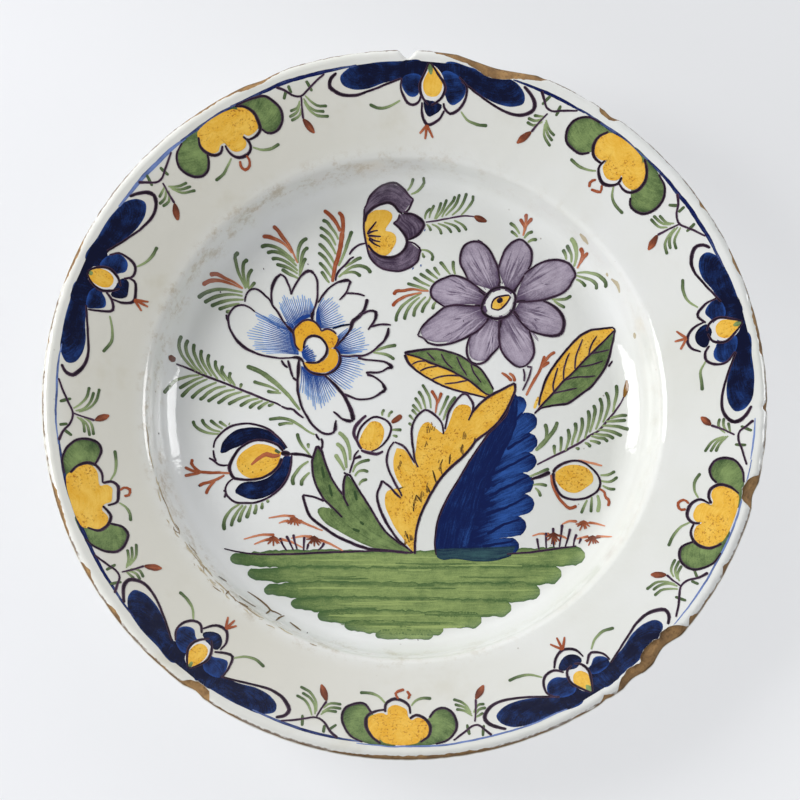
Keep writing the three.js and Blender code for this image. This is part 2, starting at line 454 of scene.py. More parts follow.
class Finish:
    """A material and the nodes that make its finish."""

    def __init__(self, name, **constants):
        self.material = bpy.data.materials.new(name)
        self.material.use_nodes = True
        self.nodes, self.links = self.material.node_tree.nodes, self.material.node_tree.links
        self.shader = self.nodes["Principled BSDF"]
        for socket, value in constants.items():
            self.shader.inputs[socket.replace("_", " ")].default_value = value
        self.place = self.node("ShaderNodeTexCoord", {}, {}, "Object")

    def put(self, socket, value):
        if isinstance(value, Value):
            self.links.new(value.socket, socket)
        elif value is not None:
            socket.default_value = value

    def node(self, kind, settings, inputs, output=0):
        """Any node: its settings first, then the values or links of its sockets."""
        node = self.nodes.new(kind)
        for name, setting in settings.items():
            setattr(node, name, setting)
        for name, value in inputs.items():
            self.put(node.inputs[name], value)
        return Value(self, node.outputs[output])

    def mixed(self, amount, first, second):
        """Two colours mixed by an amount."""
        return self.node("ShaderNodeMix", {"data_type": "RGBA"}, {"Factor": amount, 6: first, 7: second}, 2)

    def scaled(self, vector, scale):
        return self.node("ShaderNodeMapping", {}, {"Vector": vector, "Scale": scale})

    def noise(self, scale, detail=2, roughness=0.5, vector=None):
        return self.node("ShaderNodeTexNoise", {}, {"Vector": vector or self.place, "Scale": scale,
                                                    "Detail": detail, "Roughness": roughness})

    def spots(self, scale, low, high):
        """Round specks at chance places, 1 in their middles."""
        cells = self.node("ShaderNodeTexVoronoi", {}, {"Vector": self.place, "Scale": scale}, "Distance")
        return 1 - self.between(cells, low, high)

    def between(self, value, low, high):
        """0 below low, 1 above high, and smooth between them."""
        return self.node("ShaderNodeMapRange", {"interpolation_type": "SMOOTHSTEP"},
                         {"Value": value, "From Min": low, "From Max": high})

    def radius(self):
        """Distance from the plate's axis in metres."""
        flat = self.node("ShaderNodeVectorMath", {"operation": "MULTIPLY"}, {0: self.place, 1: (1, 1, 0)})
        return self.node("ShaderNodeVectorMath", {"operation": "LENGTH"}, {0: flat}, "Value")

    def flat_place(self):
        """The X and Y of each place in metres."""
        parts = self.nodes.new("ShaderNodeSeparateXYZ")
        self.put(parts.inputs[0], self.place)
        return Value(self, parts.outputs["X"]), Value(self, parts.outputs["Y"])

    def angle(self):
        """Angle round the plate, as -1 to 1 for half a turn each way from +X."""
        x, y = self.flat_place()
        return y.sum("ARCTAN2", y, x) / math.pi

    def set(self, **sockets):
        for name, value in sockets.items():
            self.put(self.shader.inputs[name.replace("_", " ")], value)
        return self.material


def rgb(red, green, blue):
    """A colour as it looks on screen, from 0 to 255."""
    linear = [((c / 255 + 0.055) / 1.055) ** 2.4 if c > 10 else c / 255 / 12.92 for c in (red, green, blue)]
    return (*linear, 1)


def glaze_surface(finish, softer=0):
    """The dimpled, glossy skin that the glaze and the colours in it share."""
    swell = finish.noise(38, 2, 0.5)
    ripple = finish.noise(210, 2, 0.55)
    dimples = finish.noise(1500, 1, 0.5)
    height = swell * 0.75 + ripple * 0.16 + dimples * 0.012
    bump = finish.node("ShaderNodeBump", {}, {"Strength": 0.75, "Distance": 0.0009, "Height": height})
    patches = finish.noise(55, 3, 0.6)
    return finish.set(Normal=bump, Roughness=finish.between(patches, 0.35, 0.8) * 0.06 + (0.055 + softer))


def make_glaze_material():
    """The face's tin glaze, with painted shade on the left of its flange, stains, blotches and pinholes, and
    thin over the lip.
    """
    finish = Finish("tin_glaze", IOR=1.5)
    cloud = finish.noise(14, 3, 0.55)
    body = finish.mixed(finish.between(cloud, 0.3, 0.75), rgb(228, 229, 227), rgb(221, 222, 216))
    radius, angle = finish.radius(), finish.angle()
    flange = finish.between(radius, 0.118, 0.135)
    left = finish.between(angle.sum("ABSOLUTE", angle), 0.25, 0.7)
    # Painted shade: the flange darker and warmer towards the left side, less so near the rim
    shaded_flange = flange * (1 - finish.between(radius, 0.16, 0.171) * 0.5)
    body = finish.mixed(shaded_flange * (left * 0.75 + 0.12), body, rgb(209, 206, 194))
    # Stain where dirt has soaked in along the crease between the wall and the flange
    crease = finish.between(radius, 0.1155, 0.1225) * (1 - finish.between(radius, 0.1255, 0.1325))
    blotch = finish.between(finish.noise(110, 5, 0.78), 0.48, 0.7)
    body = finish.mixed(crease * blotch * (left * 0.5 + 0.1), body, rgb(170, 152, 120))
    # Greyer blotches over the flange, more of them towards the left side
    flange_blotches = finish.between(finish.noise(26, 4, 0.7), 0.52, 0.75) * flange * (left * 0.4 + 0.1)
    body = finish.mixed(flange_blotches, body, rgb(196, 190, 170))
    # Pinholes
    chance = finish.between(finish.noise(33, 2, 0.5), 0.55, 0.62)
    pinhole = finish.spots(105, 0.035, 0.062) * chance
    body = finish.mixed(pinhole * 0.55, body, rgb(120, 104, 84))
    # Thin glaze over the lip, where the clay shows through
    ragged = finish.noise(420, 3, 0.6) * 0.0016
    broken = finish.between(finish.noise(75, 3, 0.7), 0.4, 0.54)
    worn = finish.between(radius + ragged, 0.1747, 0.1753) * (broken * 0.8 + 0.2)
    body = finish.mixed(worn * 0.9, body, rgb(98, 74, 50))
    finish.set(Base_Color=body)
    return glaze_surface(finish)


def make_clay_material():
    """The buff clay, brown where it is bare and worn."""
    finish = Finish("bare_clay", IOR=1.45, Specular_IOR_Level=0.25)
    grain = finish.noise(600, 4, 0.65)
    patches = finish.noise(120, 4, 0.6)
    colour = finish.mixed(finish.between(patches, 0.3, 0.7), rgb(170, 134, 88), rgb(128, 98, 66))
    colour = finish.mixed(finish.between(grain, 0.5, 0.75) * 0.7, colour, rgb(92, 70, 48))
    # The clay darker along the outer edge of the lip
    edge = finish.between(finish.radius(), 0.1738, 0.1748)
    colour = finish.mixed(edge * 0.6, colour, rgb(84, 64, 46))
    bump = finish.node("ShaderNodeBump", {}, {"Strength": 1, "Distance": 0.0012,
                                              "Height": grain * 0.6 + patches * 0.8})
    return finish.set(Base_Color=colour, Roughness=finish.between(grain, 0.2, 0.8) * 0.2 + 0.72, Normal=bump)


def make_back_material():
    """The back's tin glaze, with specks and thin patches."""
    finish = Finish("back_tin_glaze", IOR=1.5)
    cloud = finish.noise(18, 4, 0.6)
    body = finish.mixed(finish.between(cloud, 0.3, 0.7), rgb(226, 226, 219), rgb(214, 212, 198))
    chance = finish.between(finish.noise(24, 2, 0.5), 0.42, 0.6)
    body = finish.mixed(finish.spots(130, 0.05, 0.09) * chance * 0.8, body, rgb(146, 118, 84))
    thin = finish.between(finish.noise(46, 5, 0.65), 0.6, 0.8)
    body = finish.mixed(thin * 0.5, body, rgb(196, 178, 146))
    finish.set(Base_Color=body)
    return glaze_surface(finish, 0.04)


tin_glaze = make_glaze_material()
back_tin_glaze = make_back_material()
bare_clay = make_clay_material()

make_face_glaze(tin_glaze)
make_dish_clay(bare_clay)
make_back_glaze(back_tin_glaze)
make_recess_glaze(back_tin_glaze)
make_foot_ring(bare_clay)


# Brushwork. Every stroke and wash is a thin ribbon laid on the glaze. Its points keep how far along and
# across the brush they are, in millimetres, and how much colour the brush left there.

def make_pigment(name, thin, thick, streak=0.5, wash=0.5, specks=None):
    """A colour in the glaze, from where it's thin to where it has pooled."""
    finish = Finish(name, IOR=1.5)
    brush = finish.node("ShaderNodeAttribute", {"attribute_name": "brush"}, {}, "Vector")
    load = finish.node("ShaderNodeAttribute", {"attribute_name": "load"}, {}, "Fac")
    hairs = finish.noise(1, 3, 0.6, finish.scaled(brush, (0.09, 1.25, 5)))
    pools = finish.noise(150, 3, 0.6)
    grit = finish.noise(2100, 2, 0.6)
    amount = load + (hairs - 0.5) * (streak * 2) + (pools - 0.5) * (wash * 1.6) + (grit - 0.5) * 0.6
    colour = finish.mixed(finish.between(amount, 0, 1), rgb(*thin), rgb(*thick))
    if specks:
        spots = finish.between(finish.noise(900, 3, 0.65), 0.54, 0.64)
        where = finish.between(finish.noise(75, 2, 0.5), 0.4, 0.58)
        colour = finish.mixed(spots * where * 0.85, colour, rgb(*specks))
    finish.set(Base_Color=colour)
    return glaze_surface(finish)


PIGMENTS = {
    "outline": make_pigment("manganese_outline", (92, 66, 90), (16, 7, 18), 0.25, 0.35),
    "navy": make_pigment("navy_blue", (36, 74, 146), (3, 9, 42), 0.34, 0.8),
    "ribbed blue": make_pigment("ribbed_blue", (44, 86, 160), (6, 24, 76), 0.6, 0.3),
    "sky": make_pigment("hatching_blue", (134, 176, 232), (24, 60, 132), 0.25, 0.3),
    "pale blue": make_pigment("pale_blue", (226, 230, 234), (120, 166, 222), 0.5, 0.3),
    "dirt": make_pigment("dirt", (190, 178, 150), (112, 88, 60), 0.5, 0.8),
    "line blue": make_pigment("border_blue", (120, 142, 196), (10, 22, 78), 0.3, 0.6),
    "yellow": make_pigment("antimony_yellow", (240, 199, 92), (224, 166, 46), 0.4, 0.7, (166, 100, 34)),
    "green": make_pigment("leaf_green", (158, 174, 124), (74, 92, 60), 0.3, 0.35),
    "lobe green": make_pigment("lobe_green", (138, 160, 100), (56, 78, 46), 0.26, 0.6),
    "mound green": make_pigment("mound_green", (158, 176, 108), (74, 102, 60), 0.28, 0.34),
    "purple": make_pigment("pale_purple", (186, 174, 190), (92, 76, 100), 0.32, 0.45),
    "deep purple": make_pigment("deep_purple", (142, 126, 146), (60, 46, 66), 0.6, 0.7),
    "red": make_pigment("iron_red", (222, 150, 112), (148, 72, 42), 0.3, 0.5),
    "bud red": make_pigment("bud_red", (186, 104, 68), (92, 48, 36), 0.3, 0.6),
    "eye white": make_pigment("white_slip", (226, 226, 222), (214, 212, 210), 0.3, 0.3),
    "teal": make_pigment("blue_under_green", (58, 92, 96), (16, 34, 62), 0.6, 0.5),
    "sepia": make_pigment("sepia", (160, 120, 50), (66, 50, 30), 0.3, 0.8),
    "brown": make_pigment("olive_brown", (196, 146, 50), (122, 84, 34), 0.3, 0.6),
}


def smooth_line(points, step):
    """Points every so often on a smooth line through these points."""
    gaps = [max((b - a).length, 1e-6) for a, b in zip(points, points[1:])]
    slopes = [(b - a) / gap for a, b, gap in zip(points, points[1:], gaps)]
    turns = [(s * after + t * before) / (before + after)
             for s, t, before, after in zip(slopes, slopes[1:], gaps, gaps[1:])]
    turns = [slopes[0], *turns, slopes[-1]]
    line = [points[0]]
    for a, b, gap, m, n in zip(points, points[1:], gaps, turns, turns[1:]):
        count = max(1, math.ceil(gap / step))
        for k in range(1, count + 1):
            t = k / count
            line.append(a * (2 * t ** 3 - 3 * t ** 2 + 1) + m * (gap * (t ** 3 - 2 * t ** 2 + t))
                        + b * (3 * t ** 2 - 2 * t ** 3) + n * (gap * (t ** 3 - t ** 2)))
    return line


def measured(line):
    """How far along the line each of its points is."""
    far = [0]
    for a, b in zip(line, line[1:]):
        far.append(far[-1] + (b - a).length)
    return far


def placed(line, far, at):
    """The point this far along a line."""
    i = min(max(bisect(far, at), 1), len(line) - 1)
    return line[i - 1].lerp(line[i], (at - far[i - 1]) / max(far[i] - far[i - 1], 1e-9))


def graded(values, part):
    """A value from an even series, by the part of the way along it."""
    at = min(max(part, 0), 1) * (len(values) - 1)
    i = min(int(at), len(values) - 2) if len(values) > 1 else 0
    return values[i] + (values[min(i + 1, len(values) - 1)] - values[i]) * (at - i)


# Paint outside this radius stops this far short of the worn edge of the glaze
BORDER_EDGE = 164
BORDER_MARGIN = 0.15


def laid(place, lift):
    """The point of the glazed face at this place, raised square to the glaze."""
    radius, angle = place.length, angle_of(place)
    if radius > BORDER_EDGE:
        radius = min(radius, glaze_edge(angle) - BORDER_MARGIN)
    height, slope = worn_face(GLAZE_FACE, radius, angle)
    a = math.radians(angle)
    out = radius - math.sin(slope) * lift
    return Vector((math.cos(a) * out, math.sin(a) * out, height + math.cos(slope) * lift))


# Where the rows of a stroke's round end lie, and the brush's pressure from a stroke's start to its end
CAP = (0, 0.1, 0.36, 0.7, 1)
PRESSURE = (0.75, 1.1, 0.95, 1.1, 0.7)

# Outlines are this part of the widths read, and hold this much less colour along their edges
OUTLINE_BRUSH = 0.93
OUTLINE_EDGE = -0.6

# The even steps in which each side of a wash, and the pale ground of a fan, are laid out
WASH_STEPS = 40
FAN_STEPS = 9


class Painting:
    """The brushwork of one motif."""

    def __init__(self, name, polar=False, turn=None):
        """Polar readings are angles and radii. A turn changes each of them to its place in this copy."""
        self.name, self.polar, self.turn = name, polar, turn
        self.bm = bmesh.new()
        self.brush = self.bm.verts.layers.float_vector.new("brush")
        self.load = self.bm.verts.layers.float.new("load")
        self.pigments, self.count, self.fade = [], 0, 0
        self.random = random.Random(name)

    def read(self, text):
        """Lines of places, as x,y in millimetres, or as an angle and a radius."""
        if not isinstance(text, str):
            return [text]
        lines = []
        for part in text.split(";"):
            line = []
            for pair in part.split():
                first, second = map(float, pair.split(","))
                if self.turn:
                    first, second = self.turn(first, second)
                if self.polar:
                    # The painted border hangs a little low at the plate's sides
                    a = math.radians(first)
                    x, y = math.cos(a) * second, math.sin(a) * second
                    first, second = x + y * (0.0026 + 0.000088 * x), y - 0.23 - x * (0.0026 + 0.000092 * x)
                line.append(Vector((first, second)))
            lines.append(line)
        return lines

    def ribbon(self, left, right, far, loads, pigment, level, columns, pool):
        """A ribbon between two lines of equally many points."""
        if pigment not in self.pigments:
            self.pigments.append(pigment)
        rows, lift = len(left) - 1, 0.04 + 0.05 * level + 0.0008 * self.count
        self.count += 1
        seed = self.random.random() * 50
        first = len(self.bm.faces)
        made = bmesh.ops.create_grid(self.bm, x_segments=rows, y_segments=columns, size=0.5)["verts"]
        for vert in made:
            i, across = round((vert.co.x + 0.5) * rows), vert.co.y * 2
            place = left[i].lerp(right[i], (1 + across) / 2)
            vert[self.brush] = (far[i], across * (right[i] - left[i]).length / 2, seed)
            vert[self.load] = loads[i] + pool * across ** 4 - self.fade * across
            vert.co = laid(place, lift)
        self.bm.faces.ensure_lookup_table()
        for face in self.bm.faces[first:]:
            face.material_index = self.pigments.index(pigment)
            face.smooth = True

    def stroke(self, text, width, pigment, load=0.7, level=2, wobble=0.07, columns=2, pool=0.12):
        """Brush strokes. Widths and loads are numbers or series from a stroke's start to its end."""
        widths = width if isinstance(width, tuple) else tuple(width * part for part in PRESSURE)
        if pigment == "outline":
            # The brown-purple of the outlines runs thin along their edges
            widths, pool = tuple(one * OUTLINE_BRUSH for one in widths), OUTLINE_EDGE
        loads = load if isinstance(load, tuple) else (load, load)
        for line in self.read(text):
            dense = smooth_line(line, 0.6)
            far = measured(dense)
            total = far[-1]
            start, end = widths[0] / 2, widths[-1] / 2
            if start + end > total * 0.8:
                start, end = start * total * 0.8 / (start + end), end * total * 0.8 / (start + end)
            middle = max(1, round((total - start - end) / 1.5))
            stops = [start * c for c in CAP]
            stops += [start + (total - start - end) * k / middle for k in range(1, middle)]
            stops += [total - end * c for c in reversed(CAP)]
            seed = self.random.random() * 80
            left, right = [], []
            for at in stops:
                here = placed(dense, far, at)
                ahead = placed(dense, far, min(at + 0.3, total)) - placed(dense, far, max(at - 0.3, 0))
                side = Vector((-ahead.y, ahead.x)).normalized()
                round_off = 1
                for reach, gone in ((start, at), (end, total - at)):
                    if gone < reach:
                        round_off = math.sqrt(max(1 - (1 - gone / reach) ** 2, 0.06))
                half = graded(widths, at / total) / 2 * round_off
                half *= 1 + 0.16 * noise.noise(Vector((at * 0.45, seed, 0)))
                here = here + side * (wobble * noise.noise(Vector((at * 0.3, seed, 9))) * 2)
                left.append(here + side * half)
                right.append(here - side * half)
            rates = [graded(loads, at / total) for at in stops]
            self.ribbon(left, right, stops, rates, pigment, level, columns, pool)

    def between(self, first, second, pigment, load=0.5, level=0, columns=8, step=1.6, pool=0.15):
        """A wash between two lines that run the same way."""
        sides = [smooth_line(self.read(text)[0], 0.8) for text in (first, second)]
        fars = [measured(side) for side in sides]
        rows = max(3, round(max(far[-1] for far in fars) / step))
        left, right = ([placed(side, far, far[-1] * k / rows) for k in range(rows + 1)]
                       for side, far in zip(sides, fars))
        loads = load if isinstance(load, tuple) else (load, load)
        steps = [fars[0][-1] * k / rows for k in range(rows + 1)]
        rates = [graded(loads, k / rows) for k in range(rows + 1)]
        self.ribbon(left, right, steps, rates, pigment, level, columns, pool)

    def wash(self, text, pigment, load=0.5, level=0, columns=8, step=1.6, pool=0.15):
        """A wash inside a closed line, which starts at the foot of the shape."""
        for line in self.read(text):
            dense = smooth_line([*line, line[0]], 0.6)
            far = measured(dense)
            half = far[-1] / 2
            sides = [[placed(dense, far, half * k / WASH_STEPS) for k in range(WASH_STEPS + 1)],
                     [placed(dense, far, far[-1] - half * k / WASH_STEPS) for k in range(WASH_STEPS + 1)]]
            self.between(*sides, pigment, load, level, columns, step, pool)

    def leaflets(self, text, width=1.7, pigment="green", tip_last=False, load=(0.95, 0.6, 0.35, 0.2)):
        """The short strokes of a fern, which start at a round dark tip and thin out."""
        widths = (width, width * 0.95, width * 0.75, width * 0.5)
        if tip_last:
            widths, load = widths[::-1], load[::-1]
        self.stroke(text, widths, pigment, load, 1)

    def fan(self, base, ends, count, load=(1, 0.65, 0.15), width=(0.5, 0.5, 0.4), bend=0.06):
        """Hatching from along a dark base out to a ragged line of ends."""
        base, ends = self.read(base)[0], self.read(ends)[0]
        base_far, ends_far = measured(base), measured(ends)
        tips = [placed(ends, ends_far, ends_far[-1] * k / FAN_STEPS) for k in range(FAN_STEPS + 1)]
        feet = [placed(base, base_far, base_far[-1] * k / FAN_STEPS).lerp(tip, -0.1)
                for k, tip in enumerate(tips)]
        self.fade = 0.5
        reach = [foot.lerp(tip, 0.72) for foot, tip in zip(feet, tips)]
        self.between(feet, reach, "pale blue", 0.3, 0.2, 6, 1.2, 0)
        self.fade = 0
        for k in range(count):
            part = k / (count - 1)
            foot = placed(base, base_far, base_far[-1] * part)
            tip = placed(ends, ends_far, ends_far[-1] * part)
            foot = foot.lerp(tip, -0.09)
            reach = tip - foot
            tip = foot + reach * (1 + self.random.uniform(-0.16, 0.06))
            middle = foot.lerp(tip, 0.5) + Vector((-reach.y, reach.x)) * (bend * (0.5 - part))
            self.stroke([foot, middle, tip], width, "sky", load, 1, 0.05)

    def done(self):
        """Makes the motif's brushwork one piece."""
        bm = self.bm
        bmesh.ops.remove_doubles(bm, verts=bm.verts, dist=2e-4)
        bm.normal_update()
        bmesh.ops.reverse_faces(bm, faces=[face for face in bm.faces if face.normal.z < 0])
        finished(self.name, bm, [PIGMENTS[pigment] for pigment in self.pigments])


# The painted border. Readings are angles anticlockwise from +X and radii from the plate's axis.

def raised(text, low, lift, part):
    """A polar line raised towards the rim, most where it is lowest, and drawn in towards its middle."""
    pairs = [tuple(map(float, pair.split(","))) for pair in text.split()]
    middle = sum(angle for angle, radius in pairs) / len(pairs)
    places = [(angle + (middle - angle) * part, radius + lift * min(1, max(0, (low + 12 - radius) / 12)))
              for angle, radius in pairs]
    return " ".join(f"{angle},{radius}" for angle, radius in places)


# The wings of one flower serve for all five. Its centre, and how far its tips are to the left and the right.
BLUE_CENTRE = 85.4
LEFT_WING, RIGHT_WING = 17.7, 18.4
WINGS = {
    "left": "90,161 93.5,159.5 97,157.2 99.5,158.2 100.9,161 101.1,164 99.6,167.6 96,168.9 91,169.2 87.3,169 "
         "87,164",
    "right": "80.9,162.5 78.5,160 76.5,157.6 73,155.7 70.3,157 69,160 69.3,163.3 70.8,167 74,168.9 79,169.2 "
         "83.6,169 84,166",
    "left line": "90.6,161.3 93,159 96,156.5 99,155 101,156 102.4,158.5 103.1,161 102.8,164 101.5,166.8",
    "right line": "80.4,162.3 78.5,159.5 76,156.5 73,154 71,153.3 69,154 67.6,156.5 67,159 67.3,162 68.5,165 "
         "70,167.4",
}


def between_tips(centre, left_tip, right_tip):
    """Moves the template's wings to another flower, and stretches each to its own tip."""
    def turn(angle, radius):
        off = angle - BLUE_CENTRE
        stretch = (left_tip - centre) / LEFT_WING if off > 0 else (centre - right_tip) / RIGHT_WING
        return centre + off * stretch, radius
    return turn


def blue_flower(number, centre, tips, seed, left, right, lower, red, greens):
    """A blue flower with two wings. Its seed is read as its tip, its two sides and its foot."""
    wings = Painting(f"border_blue_wings_{number}", True, between_tips(centre, *tips))
    for side in ("left", "right"):
        wings.wash(WINGS[side], "navy", (0.75, 0.95, 0.75), 0, 10, 1.2, -0.35)
        wings.stroke(WINGS[side + " line"], (1.1, 1.2, 1.3, 1.7, 2.2, 1.5), "outline", 0.95, 2)
    wings.wash("85.4,157 88,158.5 90.6,161 91,165 90.5,169 87.5,169.2 85.4,169.2 83,169.2 80.3,169 80,165 "
               "80.6,162 83,158.5", "navy", 0.95, 0.1, 10, 1.3, 0)
    wings.done()
    flower = Painting(f"border_blue_flower_{number}", True)
    apex, wide_left, wide_right, bottom = seed
    for text in (left, right):
        first = text.split()[0].split(",")
        top = f"{(float(first[0]) + centre) / 2},{float(first[1]) + 2}"
        foot = f"{centre},{bottom + 3} {top} "
        flower.wash(foot + raised(text, 148, 4, 0.13), "navy", 0.75, 0.3, 8, 1.2, -0.5)
    flower.wash(f"{centre},{bottom + 1} " + raised(lower, 141, 3.8, 0.2), "navy", 0.9, 1, 8, 1.2)
    top_angle, top_radius = apex
    middle, half = (wide_left + wide_right) / 2, (wide_left - wide_right) / 2
    for pigment, size, low, level in (("eye white", 1, bottom + 0.6, 1.2),
                                      ("yellow", 0.82, bottom + 2.4, 1.4)):
        flank = ((0.5, low + 0.5), (0.85, low + 2.4), (0.98, 158.5), (0.88, 161.5), (0.55, 165))
        there = [f"{middle + half * wide * size:.2f},{radius}" for wide, radius in flank]
        back = [f"{middle - half * wide * size:.2f},{radius}" for wide, radius in reversed(flank)]
        seed_line = [f"{middle},{low}", *there, f"{top_angle},{top_radius - 0.8}", *back]
        flower.wash(" ".join(seed_line), pigment, 0.5, level, 8, 1.2)
    shoot = f"{top_angle},{top_radius - 0.5} {(top_angle + middle) / 2},163.5"
    flower.stroke(shoot, (1.2, 3, 0.8), "lobe green", (0.5, 0.1), 1.6)
    for side, wide in ((1, wide_left), (-1, wide_right)):
        flower.stroke(f"{top_angle + side * 0.1},{top_radius + 0.3} "
                      f"{(wide + top_angle) / 2 + side * 0.1},164 {wide + side * 0.15},158 "
                      f"{wide - side * 0.5},152.5 {centre + side * 0.2},{bottom - 1.6}",
                      (0.8, 1.3, 1.6, 1.5, 1), "outline", 0.95)
    for text in (left, right):
        flower.stroke(text, (0.9, 1.2, 1.5, 1.5, 1.1), "outline", 0.9)
    flower.stroke(lower, (0.9, 1.4, 1.7, 1.5, 1), "outline", 0.95)
    start, *fingers = red.split()
    for finger in fingers:
        flower.stroke(f"{start} {finger}", (1.2, 1.3, 0.9), "red", (0.9, 0.6))
    flower.leaflets(greens, 1.6, tip_last=True)
    flower.done()


def yellow_flower(number, lobes, yellow, loop, greens, rust=0):
    """A yellow flower between two green lobes."""
    flower = Painting(f"border_yellow_flower_{number}", True)
    left, right = lobes
    first, last = (float(pair.split(",")[0]) for pair in (yellow[0].split()[0], yellow[-1].split()[-1]))
    for text, side, angle in ((left, 1, first), (right, -1, last)):
        foot = f"{angle},160 {angle - side * 0.8},165.5 {angle - side * 2.5},168.3 "
        flower.wash(foot + text, "lobe green", (0.3, 0.55), 0, 10, 1.3, 0.4)
    outline = " ".join(raised(text, 146, 3, 0.17) for text in yellow)
    flower.between(f"{first + 0.3},164 {first - 0.3},167 {first - 1.6},168 {(first + last) / 2},168.4 "
                   f"{last + 1.6},168 {last + 0.3},167 {last - 0.3},164",
                   outline, "yellow", 0.5 + rust, 1, 14, 1.2)
    flower.stroke("; ".join(yellow), (1, 1.5, 1.9, 1.6, 1.3), "outline", 0.95)
    for text in lobes:
        flower.stroke(text, (0.9, 1.3, 1.5, 1.5, 1.2), "outline", 0.95)
    flower.stroke(loop, (1, 1.5, 1.3), "red", 0.8)
    flower.leaflets(greens, 1.6, tip_last=True)
    flower.done()


SPRIG = {
    "clockwise": {
        "at": 108.3, "stem ends": (111.8, 103.5),
        "stem": "111.8,168 110.5,165 109.7,162 108.3,160.3 107,162 105.5,164.5 103.5,167.5",
        "bud stem": "108.2,160 108.8,156 109.1,150",
        "greens": "108.8,158.5 109.4,156 111,155.2; 108.9,155 109.6,152 111.4,151; 108.9,157 109.8,154 "
                  "111.5,153; 108,159 107.6,155 106.6,152 105,150.4; 107.6,160 107,157 106,154 104.3,152.6; "
                  "108.1,157.5 107.6,153 106.5,149.5 104.4,147.8",
        "crosses": "109.8,167 109.7,163; 110.4,165 111.3,161.4; 106.7,166.5 106.2,161",
    },
    "anticlockwise": {
        "at": 64.5, "stem ends": (67, 60.2),
        "stem": "67,168.5 66,165 65,162 64.2,161.7 62.5,164 60.2,167.5",
        "bud stem": "64.5,160 64.4,155 65.7,148.5",
        "greens": "64.7,158 66.6,156.5; 64.7,155.5 66,152 67.3,152.5; 64.8,157 66,154.4 67.4,154.4; 64.2,156 "
                      "63.2,152 61.5,149.5; 64.3,157 63,153.5 61.6,152; 64.2,155 63.3,150 61.4,146.8",
        "crosses": "65.3,168 66,162.5; 63.1,166 63,160.5",
    },
}


def sprig(number, kind, centre, stem_ends, bud):
    """A sprig stretched to where its own stem ends, with its own bud."""
    shape = SPRIG[kind]
    ends = [(here - centre) / (there - shape["at"]) for here, there in zip(stem_ends, shape["stem ends"])]

    def turn(angle, radius):
        off = angle - shape["at"]
        return centre + off * (ends[0] if off > 0 else ends[1]), radius

    drawn = Painting(f"border_sprig_{number}", True, turn)
    drawn.leaflets(shape["greens"], 1.45, tip_last=True)
    drawn.stroke(shape["crosses"], 1.5, "green", 0.85, 1)
    drawn.stroke(shape["stem"], (1.6, 1.2, 1.1, 1.2, 1), "outline", 0.8)
    drawn.turn = None
    (near, far) = [tuple(map(float, pair.split(","))) for pair in bud.split()]
    start = f"{near[0]},{near[1]}"
    drawn.stroke(f"{centre},160 {(centre + near[0]) / 2},155 {start}", (0.9, 1, 1.4), "outline", 0.7)
    middle = f"{(near[0] + far[0]) / 2},{(near[1] + far[1]) / 2}"
    drawn.stroke(f"{start} {middle} {far[0]},{far[1]}", (1, 3.2, 3.4, 0.9), "bud red", (0.8, 0.7, 0.4))
    drawn.done()


